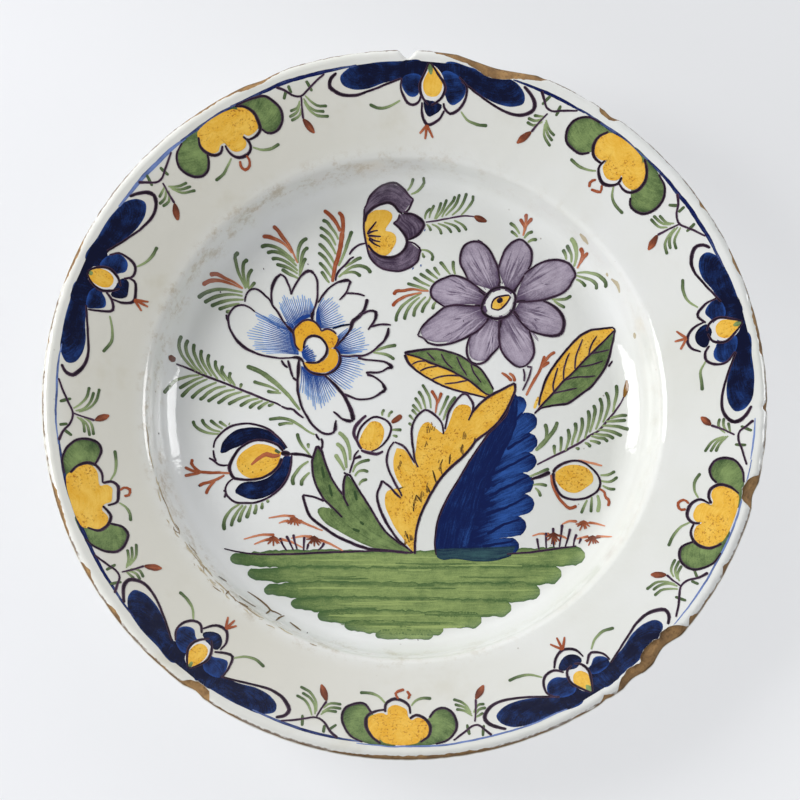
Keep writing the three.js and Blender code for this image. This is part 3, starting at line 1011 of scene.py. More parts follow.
def paint_border():
    """Five blue and five yellow flowers, the sprigs between them and the line round the edge."""
    blue_flower(1, 85.4, (103.1, 67), ((86, 168.8), 87.3, 83.1, 150.8),
                "90.6,161.5 90.8,157 90.2,152.5 89.2,149.3 88.6,148.9 87.6,150.2 87.1,153.5",
                "80.9,164 79.3,160 79.1,155 79.6,150.5 81.6,146.5 82.7,149 82.9,151",
                "86.9,150.5 86.8,146 86.4,142.5 85.4,140 84.5,141 83.3,143.5 82.6,147.5",
                "85.6,140 87,135.8 85.8,133.3 84.2,134.2",
                "90.9,151 93,148.3 95,147.8 96.6,150; 79.5,148.3 78,145 76,144 74,144.7")
    blue_flower(2, 157.2, (175, 139.7), ((157.1, 166), 158.9, 155.1, 150.8),
                "163.1,160 162.8,156 161.5,148.7 160,150.7 159,154.5",
                "152.8,160.5 151.7,157 151.6,152 152.4,147 154.3,146.2 155.4,149.5",
                "159.8,151 159.7,146 158.6,141 156.5,142 155,144 154.8,148",
                "158.2,141 159.8,135.8 158.4,133.6 157.4,134.3",
                "162.9,149.3 165,146.5 167.5,145.3 169.9,148.3; 152.2,146.5 150.5,143.8 148.7,142.8 "
                "146.8,143.2")
    blue_flower(3, 231, (249.7, 213.1), ((231.3, 167), 232.8, 229.1, 150.8),
                "236.8,161.5 236.8,155 236,149.4 234.5,150.5 233,153",
                "226.5,161 225.3,157 225.2,152 226.3,147.5 227.5,146.6 229,149.5",
                "233.6,150.5 233.7,146 232,140.7 230,142 228.5,147.5",
                "231.9,140.4 233.2,135.7 232.2,134 230.6,134.8",
                "236.5,150 238,146.5 240,144.8 242.3,146.2; 226.1,147.3 224.5,143.8 222.5,142.3 220.2,142.7")
    blue_flower(4, 302.5, (321.3, 284), ((302.5, 168), 304, 300.5, 153),
                "308.3,160 308.2,156.5 306.4,151.5 304.6,155",
                "297,162 295.8,158 296,153 297,149.7 299,149.3 300.3,152.5",
                "304.9,151 304.5,146 302.3,142.5 300.6,144 299.1,148.5",
                "302.5,142.5 304.3,137.5 302.9,135.6 301,136.8",
                "306.9,150.3 308.5,147.5 310.5,146.6 312.8,149; 296.4,149.7 294.5,145.8 292,144.5 290.3,144.8")
    blue_flower(5, 14.2, (29.3, -2.7), ((14.3, 168), 16, 11.9, 152.5),
                "19.6,160 19.3,154 17.7,148.7 16,151.5",
                "9.7,162 8.1,157 8,152 9.2,147.7 10.5,147.8 11.7,150.5",
                "16.2,151 15.9,146 14,141 12.3,141.5 10.9,146",
                "14.2,141 16.2,137 14.2,135 12.3,136.8",
                "19.2,150.2 21,147 23.5,146.8 25.3,148.8; 9,147.5 7,144.3 5,144.3 3.4,144.3")

    yellow_flower(1, ("130,167.5 131.9,165 133,160 132.8,155 131.8,151 130.7,149.5 129.5,150 128.3,153 "
                      "127.7,156",
                      "119,168 116,167.5 114,166 113,162 112.4,157 112.9,152.5 114,149.8 115.3,149 "
                      "116.5,150.5 116.9,153"),
                  ["127.2,165 127.9,161 127.6,156.5 126.5,153.3 125.6,153 124.6,155.3",
                   "124.2,154.8 124.2,150.5 123.5,147 122.2,145.7 121,146 120.2,148.5 120.2,152",
                   "120.6,154 120.2,151.7 118.6,151.2 117.2,153 116.9,157 117,162 118,166 119.3,168"],
                  "121.8,145.5 121.8,143 122.5,140.3 123.6,140.2 123.8,143 123.4,145",
                  "124.5,148.3 126,146 127.5,144.3 129.5,144; 120,147.3 118.5,144 117,142.8 115.1,143.2")
    yellow_flower(2, ("203.5,168 205,166 207,161 207.7,156 207,151.5 205.5,148.2 204,149 202.5,154",
                      "192,168 189,167 187.5,164 186.4,159 186.5,153 187.5,149 188.7,148.3 190,150 "
                      "191.2,152.5"),
                  ["201.8,165 203,160 202.6,155.5 201.3,152.3 199,154.3",
                   "199.2,152 199,147 197.5,145.2 196.2,144.3 195,146.5 194.9,151",
                   "194.9,151 193,150.3 191.3,152.5 190.7,157 191,161 192,165"],
                  "197,144 196.7,141.6 197.3,139.3 198.4,140.8 198.3,143",
                  "199.3,146.3 200.5,144 202,143.3 203.4,144.5; 194.7,147 193.3,144 191.5,142.5 189,142")
    yellow_flower(3, ("275,168.3 277,167 278.8,162 279,157 278.3,152.5 277,150.5 275.5,151.5 274.4,155",
                      "263,168 261,166 259.6,162 258.8,157 259.1,152.5 260.5,149.7 262.3,148.6 264,153"),
                  ["272.5,167 274,164 274.4,159 273.5,155 272,153.2 270.9,155",
                   "271,152.5 270.7,148 269.5,145.8 268,145 266.5,147.5 266.4,152",
                   "266.4,150.7 264.5,152 263.2,155 263.3,160 264.5,165 266,168"],
                  "270.6,145 271,143 270.4,140.9; 268.8,145 268.2,142.3 269.9,140",
                  "271.2,148.5 272,146 273.5,144.7 275.1,145.3; 266.4,147.5 265,144.2 263.5,143 261.3,143.5",
                  0.15)
    yellow_flower(4, ("347,168 349,166 350.6,161 350.7,156 349.8,152 348.3,150.7 346.8,152.5 346,155.5",
                      "334.5,169 332.5,168 331,165 329.8,160 330,155 331,151.8 332.3,150.7 334.6,155"),
                  ["345,167 345.8,162 345.8,157 344.6,153.3 343.2,153.5 342.1,155.8",
                   "342,155 342.3,150 341.3,147 339.8,146.2 338.5,147 337.7,150 338,154",
                   "337.7,151.3 336,151.5 334.9,153.5 334.2,158 334.5,163 336,167.5"],
                  "340.9,145.6 341.4,143 340.4,140.6 339.3,142.8 339.7,145.2",
                  "342.5,149 343.8,146 345.5,145.2 347.2,146.8; 337.7,149.5 336,146 334,144.7 331.7,145")
    yellow_flower(5, ("56,168.3 58.5,167 60,162 60.1,157 59.2,152.5 57.5,151 55.8,151.2 54.6,154",
                      "43,167.5 40.5,165 39.3,161 38.9,155 39.6,150 41,147.8 42.6,148 43.5,150.5"),
                  ["54,167 54.9,162 54.6,157 53.5,153.6 51.6,153.2",
                   "51.5,155.5 51.6,151 50.6,148 49,146.5 47.8,148 47,151 47.2,154.5",
                   "47,151.5 45.7,150.7 44.3,151.7 43.6,155 43.7,160 45,165 46.5,167.8"],
                  "50.6,145.8 51.2,143.3 50.7,141; 49.1,145.5 48.4,143 50.2,140.7",
                  "51.6,149 53,147 55,146 56.9,146.7; 47.3,148.8 46,144.5 44,142.8 42.3,142.8")

    sprig(1, "clockwise", 108.3, (111.8, 103.5), "109.2,150 108,142")
    sprig(2, "clockwise", 181.7, (186.3, 175.8), "183,150 182,143")
    sprig(3, "clockwise", 254.5, (258.8, 249), "255.5,151 253.7,143.5")
    sprig(4, "clockwise", 326.3, (330.6, 321.4), "326.7,151.5 325.2,145")
    sprig(5, "clockwise", 34.2, (38.6, 30), "34.9,149 33.5,141.5")
    sprig(6, "anticlockwise", 64.5, (67, 60.2), "65.8,149 67.5,141.5")
    sprig(7, "anticlockwise", 137, (139.8, 132.3), "138.2,149.5 140.2,143")
    sprig(8, "anticlockwise", 211.3, (213.8, 206.5), "212.3,149 214.5,142.5")
    sprig(9, "anticlockwise", 282.2, (284.4, 278), "283.3,149 285.5,143")
    sprig(10, "anticlockwise", 355, (357.6, 350), "356.6,148.5 358.2,143.5")

    line = Painting("border_line", True)
    for first, last, radius, width, load in ((59, 72, 168.5, 1.5, 0.95), (98, 120, 168.5, 1.7, 0.95),
                                             (24, 47, 168.3, 1.8, 0.95), (186, 219, 167.7, 1.7, 0.95),
                                             (244, 263, 168, 1.4, 0.7), (129, 145, 168.4, 1.9, 0.3),
                                             (170, 187, 168.2, 1, 0.4), (262, 301, 169, 0.9, 0.3),
                                             (320, 351, 169.2, 0.9, 0.3), (46, 60, 168.5, 1.3, 0.7),
                                             (119, 130, 168.5, 1.4, 0.7), (351, 358, 169, 0.8, 0.1)):
        count = max(2, round((last - first) / 3))
        arc = " ".join(f"{first + (last - first) * k / count},{radius + line.random.uniform(-0.25, 0.25):.2f}"
                       for k in range(count + 1))
        line.stroke(arc, (width * 0.5, width, width * 1.1, width * 0.9, width * 0.5), "line blue",
                    (load * 0.7, load, load, load * 0.8), 0)
    line.done()


paint_border()


# The painting in the middle. Readings are x,y in millimetres, with Y towards the top of the picture.

def paint_blue_white_flower():
    ink = Painting("blue_white_flower")
    ink.fan("-55,45 -54.5,38 -53,30",
            "-65,50 -69,49.5 -73.5,49.8 -75,46.5 -75.5,43 -76,39 -75.5,36 -73,33 -70,30.5", 23)
    ink.fan("-55,43.5 -52,46.5 -48,49 -44,50",
            "-61,54.5 -60.5,57 -58.7,59.7 -55.5,59 -52,59.3 -49,60 -46,58.3 -44.3,55", 21)
    ink.fan("-42.5,51.5 -42,47 -40,43.5", "-39,59 -34.5,58.5 -31.5,55 -30,51 -28.5,48 -28.3,45.5", 15,
            bend=0.1)
    ink.fan("-34,37 -33,33.5 -31,30.5", "-27,43.5 -22,44 -18.5,41.5 -16.5,38.5 -16,35.5 -18.5,32 -22,30.8",
            17)
    ink.fan("-31,29.5 -32.5,24 -37,19.8", "-22,28.3 -19,25 -19.8,21.8 -21.5,18 -23.5,14.8 -28,12.2", 15)
    ink.fan("-50,23 -45,20.5 -38,19",
            "-51,11 -48.5,10.5 -46,6 -43.5,3 -41.5,5 -39.5,2.5 -37.5,6 -34.5,8.5 -32.5,12", 21)
    ink.stroke("-55.3,43.5 -54.6,37.5 -53.2,31; -53.5,45.5 -50,48.2 -45.5,49.7; -42,50.5 -41.8,47 "
               "-40.5,44.3; -33.5,35.5 -32.5,32.8 -31,30.5; -32,28.5 -32.8,24.5 -35.5,21; -49.8,23 "
               "-45,20.3 -39.5,19.2", (0.9, 1.9, 2.1, 1.9, 0.9), "sky", (0.8, 1, 0.8), 0.8)
    ink.between("-51.5,31.5 -53,34.5 -53.6,38 -53.8,42 -51.8,44.7 -49.5,46.5 -46,46.9 -43.3,46 -41.5,44 "
                "-40.3,41.9 -38,42.4 -35.5,42 -33.2,40 -32.1,38 -32.3,35.8 -33.8,33.6",
                "-49.7,31.5 -49.5,33 -49,35 -48.5,36.5 -47.5,38 -46,39 -44.5,39.4 -43,39.3 -41.5,38.7 "
                "-40.3,37.8 -39.5,37 -38.7,36 -38,35 -37.6,34.2 -37.3,33.5 -37,33", "yellow", 0.95, 1.2, 6,
                1.2)
    ink.between("-49,26 -46.5,22.5 -42,20.8 -37,21.3 -33,24.5 -32,28.5 -33.5,32.5",
                "-47.5,25.9 -44,25.6 -41,25.8 -39,27 -37,29.5 -36.7,31.5 -36.5,33.3", "yellow", 0.95, 1.2, 6,
                1.3)
    ink.fan("-49.8,31.5 -49,28.5 -47,26.5", "-47,34.5 -45,32.8 -43.6,31 -43,28.8 -43.2,27", 9,
            (0.95, 0.8, 0.5), (0.8, 0.8, 0.7))
    ink.stroke("-73,51.3 -65,46.5 -58,40", 0.6, "sky", 0.6, 1)
    ink.stroke("-73,51.3 -76,53.7 -79,54.8 -82,54.3 -84.5,52 -86,49 -86,46 -85.2,42.5 -83.5,39.5 -81,36 "
               "-77.5,33 -73,30.7 -69,29.3 -65,28.6 -61,28 -55,28.3 -51.5,28.5; -87,50 -86.8,48 -86,46; "
               "-78,56.3 -77.5,59.5 -76,62 -73.5,63 -70.5,61.8 -68,59.5 -65.5,57 -64.3,54.5 -62,51.5 "
               "-60,48 -57.5,44.5 -55.5,42.3; -64.5,55 -65,60 -64.5,64 -63,67.5 -60.5,70.3 -58.5,69 -57,66 "
               "-55.7,62.5 -55.3,60; -55.3,60 -54,63.5 -52,67 -50,70 -47.8,71.8 -46.3,72.3; -46.3,72.3 "
               "-44,70.5 -42.7,68 -42.3,63 -42.5,58 -43.5,54 -45,50; -42,56 -39.5,60 -36.5,63.5 -33,66 "
               "-29.5,67.3 -26,67; -26,67 -26.8,65 -27.5,62.5 -29,60 -31.5,57.3; -28.5,60.8 -25,60.8 "
               "-21.5,60.3 -19,59.5", 1.15, "outline", 0.85)
    ink.stroke("-18,58 -18.3,55.5 -19.5,52 -22,49 -25,46.5 -26,43 -28,40 -30,37.5 -33,34",
               (2.2, 1.5, 2.2, 2.2, 1.4, 1.2, 1), "outline", 0.95)
    ink.stroke("-26,45.3 -30,44.5 -35,43", 1, "navy", 0.9)
    ink.stroke("-22,49.5 -19,51 -16.5,52 -13.5,51.5 -13.5,49.5 -14.3,47 -16.3,44 -17.5,42.3; -16.3,43.8 "
               "-13,44.8 -10,45.2 -6.2,44.8; -7.3,43.5 -7.8,40 -9.5,37 -12.5,34 -16,31 -20,29.3 -24,29.3 "
               "-28,29 -31,29.5", 1.2, "outline", 0.85)
    ink.stroke("-22.5,28.3 -19,27.5 -15,27 -10.5,26.5 -7.3,25.3 -5.3,23.3; -5.3,23.3 -7.5,23.3 -10.5,21.5 "
               "-14,20.8 -17.3,21 -18.5,20.5; -18,19.8 -15,19 -12,17 -9.5,14.3 -9,12.3; -9.3,12 -10.5,11.3 "
               "-12.5,9.8 -16,8 -20,7.4 -23.5,7.7 -26.5,9 -29.5,10", (1.5, 1.1, 1.1, 1.2, 1.6), "outline",
               0.85)
    ink.stroke("-51.3,27 -51.7,22 -52,16 -51.8,11 -50.8,6.5 -49.5,2.5 -47.5,-1 -45,-5 -42,-8 -38.5,-9.8 "
               "-35.5,-9.8 -33.7,-8.5 -33.5,-6 -33.2,-3; -24.8,-3.3 -27,-3.5 -30,-2.5 -32.8,0 -34.5,1.3; "
               "-60,27 -58.5,24.5 -56.8,23.3; -56.7,27 -56,24 -55,20.5 -54.3,18.5; -54.5,18.3 -52.5,16.7",
               1.3, "outline", 0.9)
    ink.stroke("-39,19.5 -36,17 -32.5,13.3 -29.5,9.5 -27,5 -25.3,0.5 -24.8,-3.3",
               (1, 1.5, 1.9, 1.9, 2.2, 2.4), "outline", 0.95)
    ink.stroke("-51,32 -53,34.5 -53.7,38 -54,42 -52,44.5 -49.5,46.8 -46,47.3 -43.5,46.3 -41.5,44 "
               "-40.3,41.5; -40.3,41.5 -38,42.8 -35.5,42.3 -33,40.3; -32,38 -32.3,36 -34,33.5", 1.1,
               "outline", 0.85)
    ink.stroke("-34,33.4 -33,32.8 -31.5,30.5 -31,27 -32,24 -34.5,21.5 -38,20 -42,19.8 -45.5,21 -48.3,23.5 "
               "-49.3,25.8; -49,33 -48.8,35 -48,37.5 -45,39.3 -41.5,38.8 -39,36.5 -37.5,33.5 -37.8,30.5 "
               "-39.5,28 -42,26 -48,26", 1.4, "outline", 0.95)
    # The brush was pressed at the tips of the petals and where they meet
    ink.stroke("-65,61 -64.3,65 -62.5,68.5 -60.5,70.2; -50.5,69.3 -48,71.7 -46,72.2 -44,70.6; -32,66.3 "
               "-29,67.3 -26.1,67 -26.9,64.8; -17,52 -13.8,51.6 -13.6,49.3 -14.6,46.5; -7.4,43.4 -7.9,40 "
               "-9.6,36.9; -8.5,26 -5.4,23.4 -8,23.2; -10.5,15.5 -9.1,12.2 -11.5,10.6; -34.5,-9.3 -33.7,-8 "
               "-33.4,-4; -24.9,-3.2 -27.5,-3.3 -30,-2.3; -84,40 -81,36 -77.5,33 -72.5,30.6; -55,28.3 "
               "-52,28.4 -50,27.2 -49,25.8; -57.5,44.5 -55.5,42.3 -53.9,40.3; -44.2,52 -45,49.5 -44.7,47; "
               "-51.3,27.5 -51.7,22 -52,17", (0.9, 1.9, 1.8, 1.1), "outline", 0.95, 2.1)
    ink.done()


def paint_purple_flower():
    ink = Painting("purple_flower")
    petals = ["47.8,65 47,70 46.5,74 44.5,79 42,83.5 38.5,86.5 36,87.3 32.5,86.7 30,85 28.2,81 28,76.5 30,72 "
              "32,67.5 38,64.5 43,62.8",
              "50,64 48.5,68 47,74 48.5,79 50.5,83.5 54,87 58,88.3 60.5,86.5 63,83 63.3,79 62.5,75 60,71 "
              "57,66 54.8,62.5",
              "55.5,57 56,61 58,66 59.5,70 63,73.5 68,76.5 73,77.8 79,77 82,75.3 83.8,72.5 84.8,70 83.5,67.5 "
              "81,63.5 77.5,60.8 73,59 70,58 63,57",
              "54.8,53 57,56.3 63,56.8 68.5,57.2 74,54.5 77,51.5 78.8,47.5 78.7,43.5 77.3,40.7 74,39.5 "
              "70,39.8 66,40.8 62.3,42 60,44 56.5,48",
              "50,48.5 53.5,50.5 56.5,48 60,44 61.8,42 63,38 64,34 63.8,30 62,26.5 60,24.5 57,23.8 53.5,25.5 "
              "50,29 48,32.5 47,37 47,42 47,47",
              "43.5,47.5 46.5,47 47,42 47,37 46,33 43,29.8 40,27.3 36,27 33.3,28.3 32.2,31 32.2,34 32,36 "
              "33,39.5 36.5,42 39,44.5",
              "40.5,50 42,48 38.5,44 34,40.5 30,38.3 25,37.2 20,36.4 15,36.4 12,37.3 9.5,39 8.5,40.5 "
              "9.5,43.5 12,47 16,50.5 20.5,54 27,55 33,54.5 38,54.5",
              "38,55.5 27,55.3 20.5,54.3 18,55.5 16,57 13.8,59.5 13.5,63 15.5,66 20,68.5 24.5,70 28.5,69 "
              "32.5,67 36.5,64 40.5,60.5"]
    for petal in petals:
        ink.wash("47,56 " + petal, "purple", (1.3, 1.3, 0.65, 0.38, 0.3, 0.35, 0.55), 0, 14, 1.4, 0.4)
        foot, tip = Vector((47, 56)), ink.read(petal)[0][7]
        for k in range(16):
            side = Vector((foot.y - tip.y, tip.x - foot.x)).normalized() * ink.random.uniform(-6.5, 6.5)
            start = foot.lerp(tip, ink.random.uniform(0.25, 0.6)) + side * 0.5
            end = foot.lerp(tip, ink.random.uniform(0.6, 0.9)) + side
            ink.stroke([start, start.lerp(end, 0.5) + side * 0.1, end], (0.3, 0.8, 0.3), "purple",
                       (0.55, ink.random.choice((0, 0.75)), 0.4), 0.6)
    ink.stroke("32,67.5 30,72 28,76.5 28.2,81 30,85 32.5,86.7 36,87.3 38.5,86.5 42,83.5 44.5,79 46.5,74 "
               "47,70 47.8,66; 36.5,87.8 38,87.5 39,86.5; 47,74 48.5,79 50.5,83.5 54,87 58,88.3 60.5,86.5 "
               "63,83 63.3,79 62.5,75 61.5,73; 59.5,70 57,66 54.8,62.5; 59.5,70.5 63,73.5 68,76.5 73,77.8 "
               "79,77 82,75.3 83.8,72.5 84.8,70 83.5,67.5 81,63.5 77.5,60.8 73,59 70,58 63,57 55.5,56.5; "
               "62.3,42 60,44 56.5,48 54,51.5; 61.8,42 63,38 64,34 63.8,30 62,26.5 60,24.5; 47,47.5 47,42 "
               "47,37 48,32.5 50,29 53.5,25.5 57,23.8 60,24.5; 33,39.5 31.5,36 31,32 31.5,29 33,26.5 "
               "36,25.3 40,26.5 43,29.8 46,33 47.3,35; 38,54.5 33,54.5 27,55 20.5,54 16,50.5 12,47 8.5,43 "
               "7,39.5; 7,39.5 9.5,38.5 12,36 15,35 20,35 25,36.2 30,38.3 34,40.5 36.5,42 38.5,44 42,48; "
               "41,60.5 36.5,64 32.5,67 28.5,69 24.5,70 20,68.5 15.5,66 13.5,63 13.8,59.5 16,57 18,55.5 "
               "20.5,54", 1.25, "outline", 0.85)
    ink.stroke("40.5,59.8 37,62.5; 46.7,63 47.2,67; 54.2,61.5 56.3,64.8; 55.5,56.8 60,57.5; 54,52 57,49; "
               "48,48 47.5,43.5; 42.3,49.5 40.5,46; 38.8,54.5 35,55", (2.2, 1.4, 0.7), "outline", 0.9)
    ink.stroke("68.5,57.5 74,54.5 77,51.5 78.8,47.5 78.7,43.5 77.3,40.7 74,39.5 70,39.8 66,40.8 62.3,42",
               (1.1, 1.7, 2, 1.9, 1.4, 1.1), "outline", 0.9)
    ink.wash("41,53 40.3,55.5 42.3,59.5 45.5,62 49,62.5 52.5,60.8 53.8,57.5 52.8,53.5 50,50.6 46.5,49.6 "
             "42.5,50.3", "eye white", 0.2, 1, 10, 1.2)
    ink.stroke("38.3,52.5 39,56 41,60 44,62.8 48,64 52,63 54.8,60.5 55,57 54,53 51,49.5 47,48.2 42.5,48.8 "
               "39.5,50.8 38.4,52.6", (1.7, 1.8, 1.5, 1.8, 1.7), "outline", 0.95)
    ink.wash("43.3,53.3 43.5,56 45.5,58.7 49,59.7 52.7,59.7 51.5,57 49.5,54.5 46.5,52.5", "yellow", 0.5, 1.5,
             8, 1)
    ink.stroke("43.3,53.3 43.5,56 45.5,58.7 49,59.7 52.7,59.7 51.5,57 49.5,54.5 46.5,52.5 43.3,53.3", 1,
               "outline", 0.85, 2.2)
    ink.stroke("46.3,56.3 47.5,57.5 48.8,58.2", 2.4, "outline", 1, 2.4)
    ink.stroke("58.7,23 59.3,20 59,16.5; 62.7,23.5 61.5,19 60,15.5 58.2,12; 60.5,24 63,23.8", 1, "outline",
               0.7)
    ink.done()


def paint_side_flower():
    ink = Painting("side_flower")
    ink.between("-19.2,103.3 -18,106.5 -15,111 -12.5,113 -6,115.2 -1,113.6 3,109.8 5,108.2",
                "-19,97.5 -18,101 -16,103.5 -13,105.5 -7.5,107 -3.5,104.8 -1,102.3 0,101.7", "deep purple",
                (0.5, 0.7, 0.5), 0, 12, 1.2)
    ink.wash("-1,101.3 4,100.8 7.5,99 9.8,96.3 9.3,93.5 8,91.5 5.5,89.5 2.5,88.3 0.5,91.3 -2,94 -4.5,96.3 "
             "-2.5,98.5", "deep purple", 0.7, 0, 12, 1.2)
    ink.between("-18.5,86.8 -16.8,80 -14.5,76.7 -11,74 -6,72.7 -1,72.7 4,74.8 7.3,78.2 8.3,82.8",
                "-17.8,85.7 -15,82.3 -12,80 -8,79.2 -4,79.7 -1,81.7 1,84.5 1.8,86.5 2.8,87.3", "deep purple",
                (0.5, 0.7, 0.5), 0, 10, 1.2)
    ink.between("-13,103.2 -15,102.5 -17,101 -18.8,98 -19,95 -18.8,92 -18.6,89 -18.3,86 -16.5,82.5 "
                "-13.5,80.5",
                "-12,103.2 -8,103 -5.8,101.5 -5.3,100 -6.5,97 -8.3,94.5 -9,92.8 -6,92 -4,90.5 -3.5,87.5 "
                "-5,84 -7,81 -9,79.8", "yellow", 0.5, 0.5, 14, 1.3)
    ink.stroke("-19.2,103.7 -18,106 -17,108.8 -15,111.2 -12.5,113.3 -9.5,114.8 -6,115.6 -3.3,115.5 -1,114 "
               "1.3,112 3,110 5,108.4; 5,108.4 4,106.5 3,104 1.5,102.3 0,101.7; -19.2,103.7 -19.3,100 "
               "-19.5,94 -18.7,87.5 -16.8,80; -1.8,101 -2.5,98.5 -3.5,97.3 -5,96.5; -18.5,87 -16.8,80 "
               "-14.5,76.5 -11,73.7 -6,72.3 -1,72.3 4,74.5 7.3,78 8,81.5 8.5,83 7,84.8 4.5,86.6 2.5,87", 1.2,
               "outline", 0.85)
    ink.stroke("-19,97 -18,101 -16,103.3 -13,105.2 -10,106.3 -7.5,106.8 -5.5,106.2 -3.5,104.5 -2,102.2 "
               "-0.5,101.3; -5,96.5 -3.3,95.3 -1.5,93.5 0.3,91.3 1.8,88 1.5,85 -1,81.5 -4,79.5 -8,79 "
               "-12,79.8 -15,82 -17.5,85.5; 0,101.5 4,101 7.5,99.3 9.8,97 10.2,96 9.3,93.5 8,91.5 5.5,89.5 "
               "2.5,88", 1.7, "outline", 0.95)
    ink.stroke("-17.5,91.5 -15.5,94.5 -13.3,97.3; -18,91 -15,92.3 -12.5,92.7; -17.5,90 -11,89.7; -17,89 "
               "-14,87.5 -11.3,87; -17,88.5 -15,86.3 -11.3,84.5", (1.4, 1.1, 0.7), "outline", 0.9)
    ink.stroke("-33.5,67 -33,70 -31,73 -28,76 -25.5,78.8 -24.3,79.3; -26.6,80.3 -25,83 -22,85.3 -18.5,86.3",
               1.2, "outline", 0.8)
    ink.leaflets("2,112.3 3.5,114.3 4.5,116 4.8,117.7; 3.8,110.7 6.5,111.7 9,113.8 10.3,116 9.7,118; "
                 "8.5,83 12,82.5 14.5,80 14,77.3; 9.3,81.5 10.3,78.8", 1.5, tip_last=True)
    ink.done()


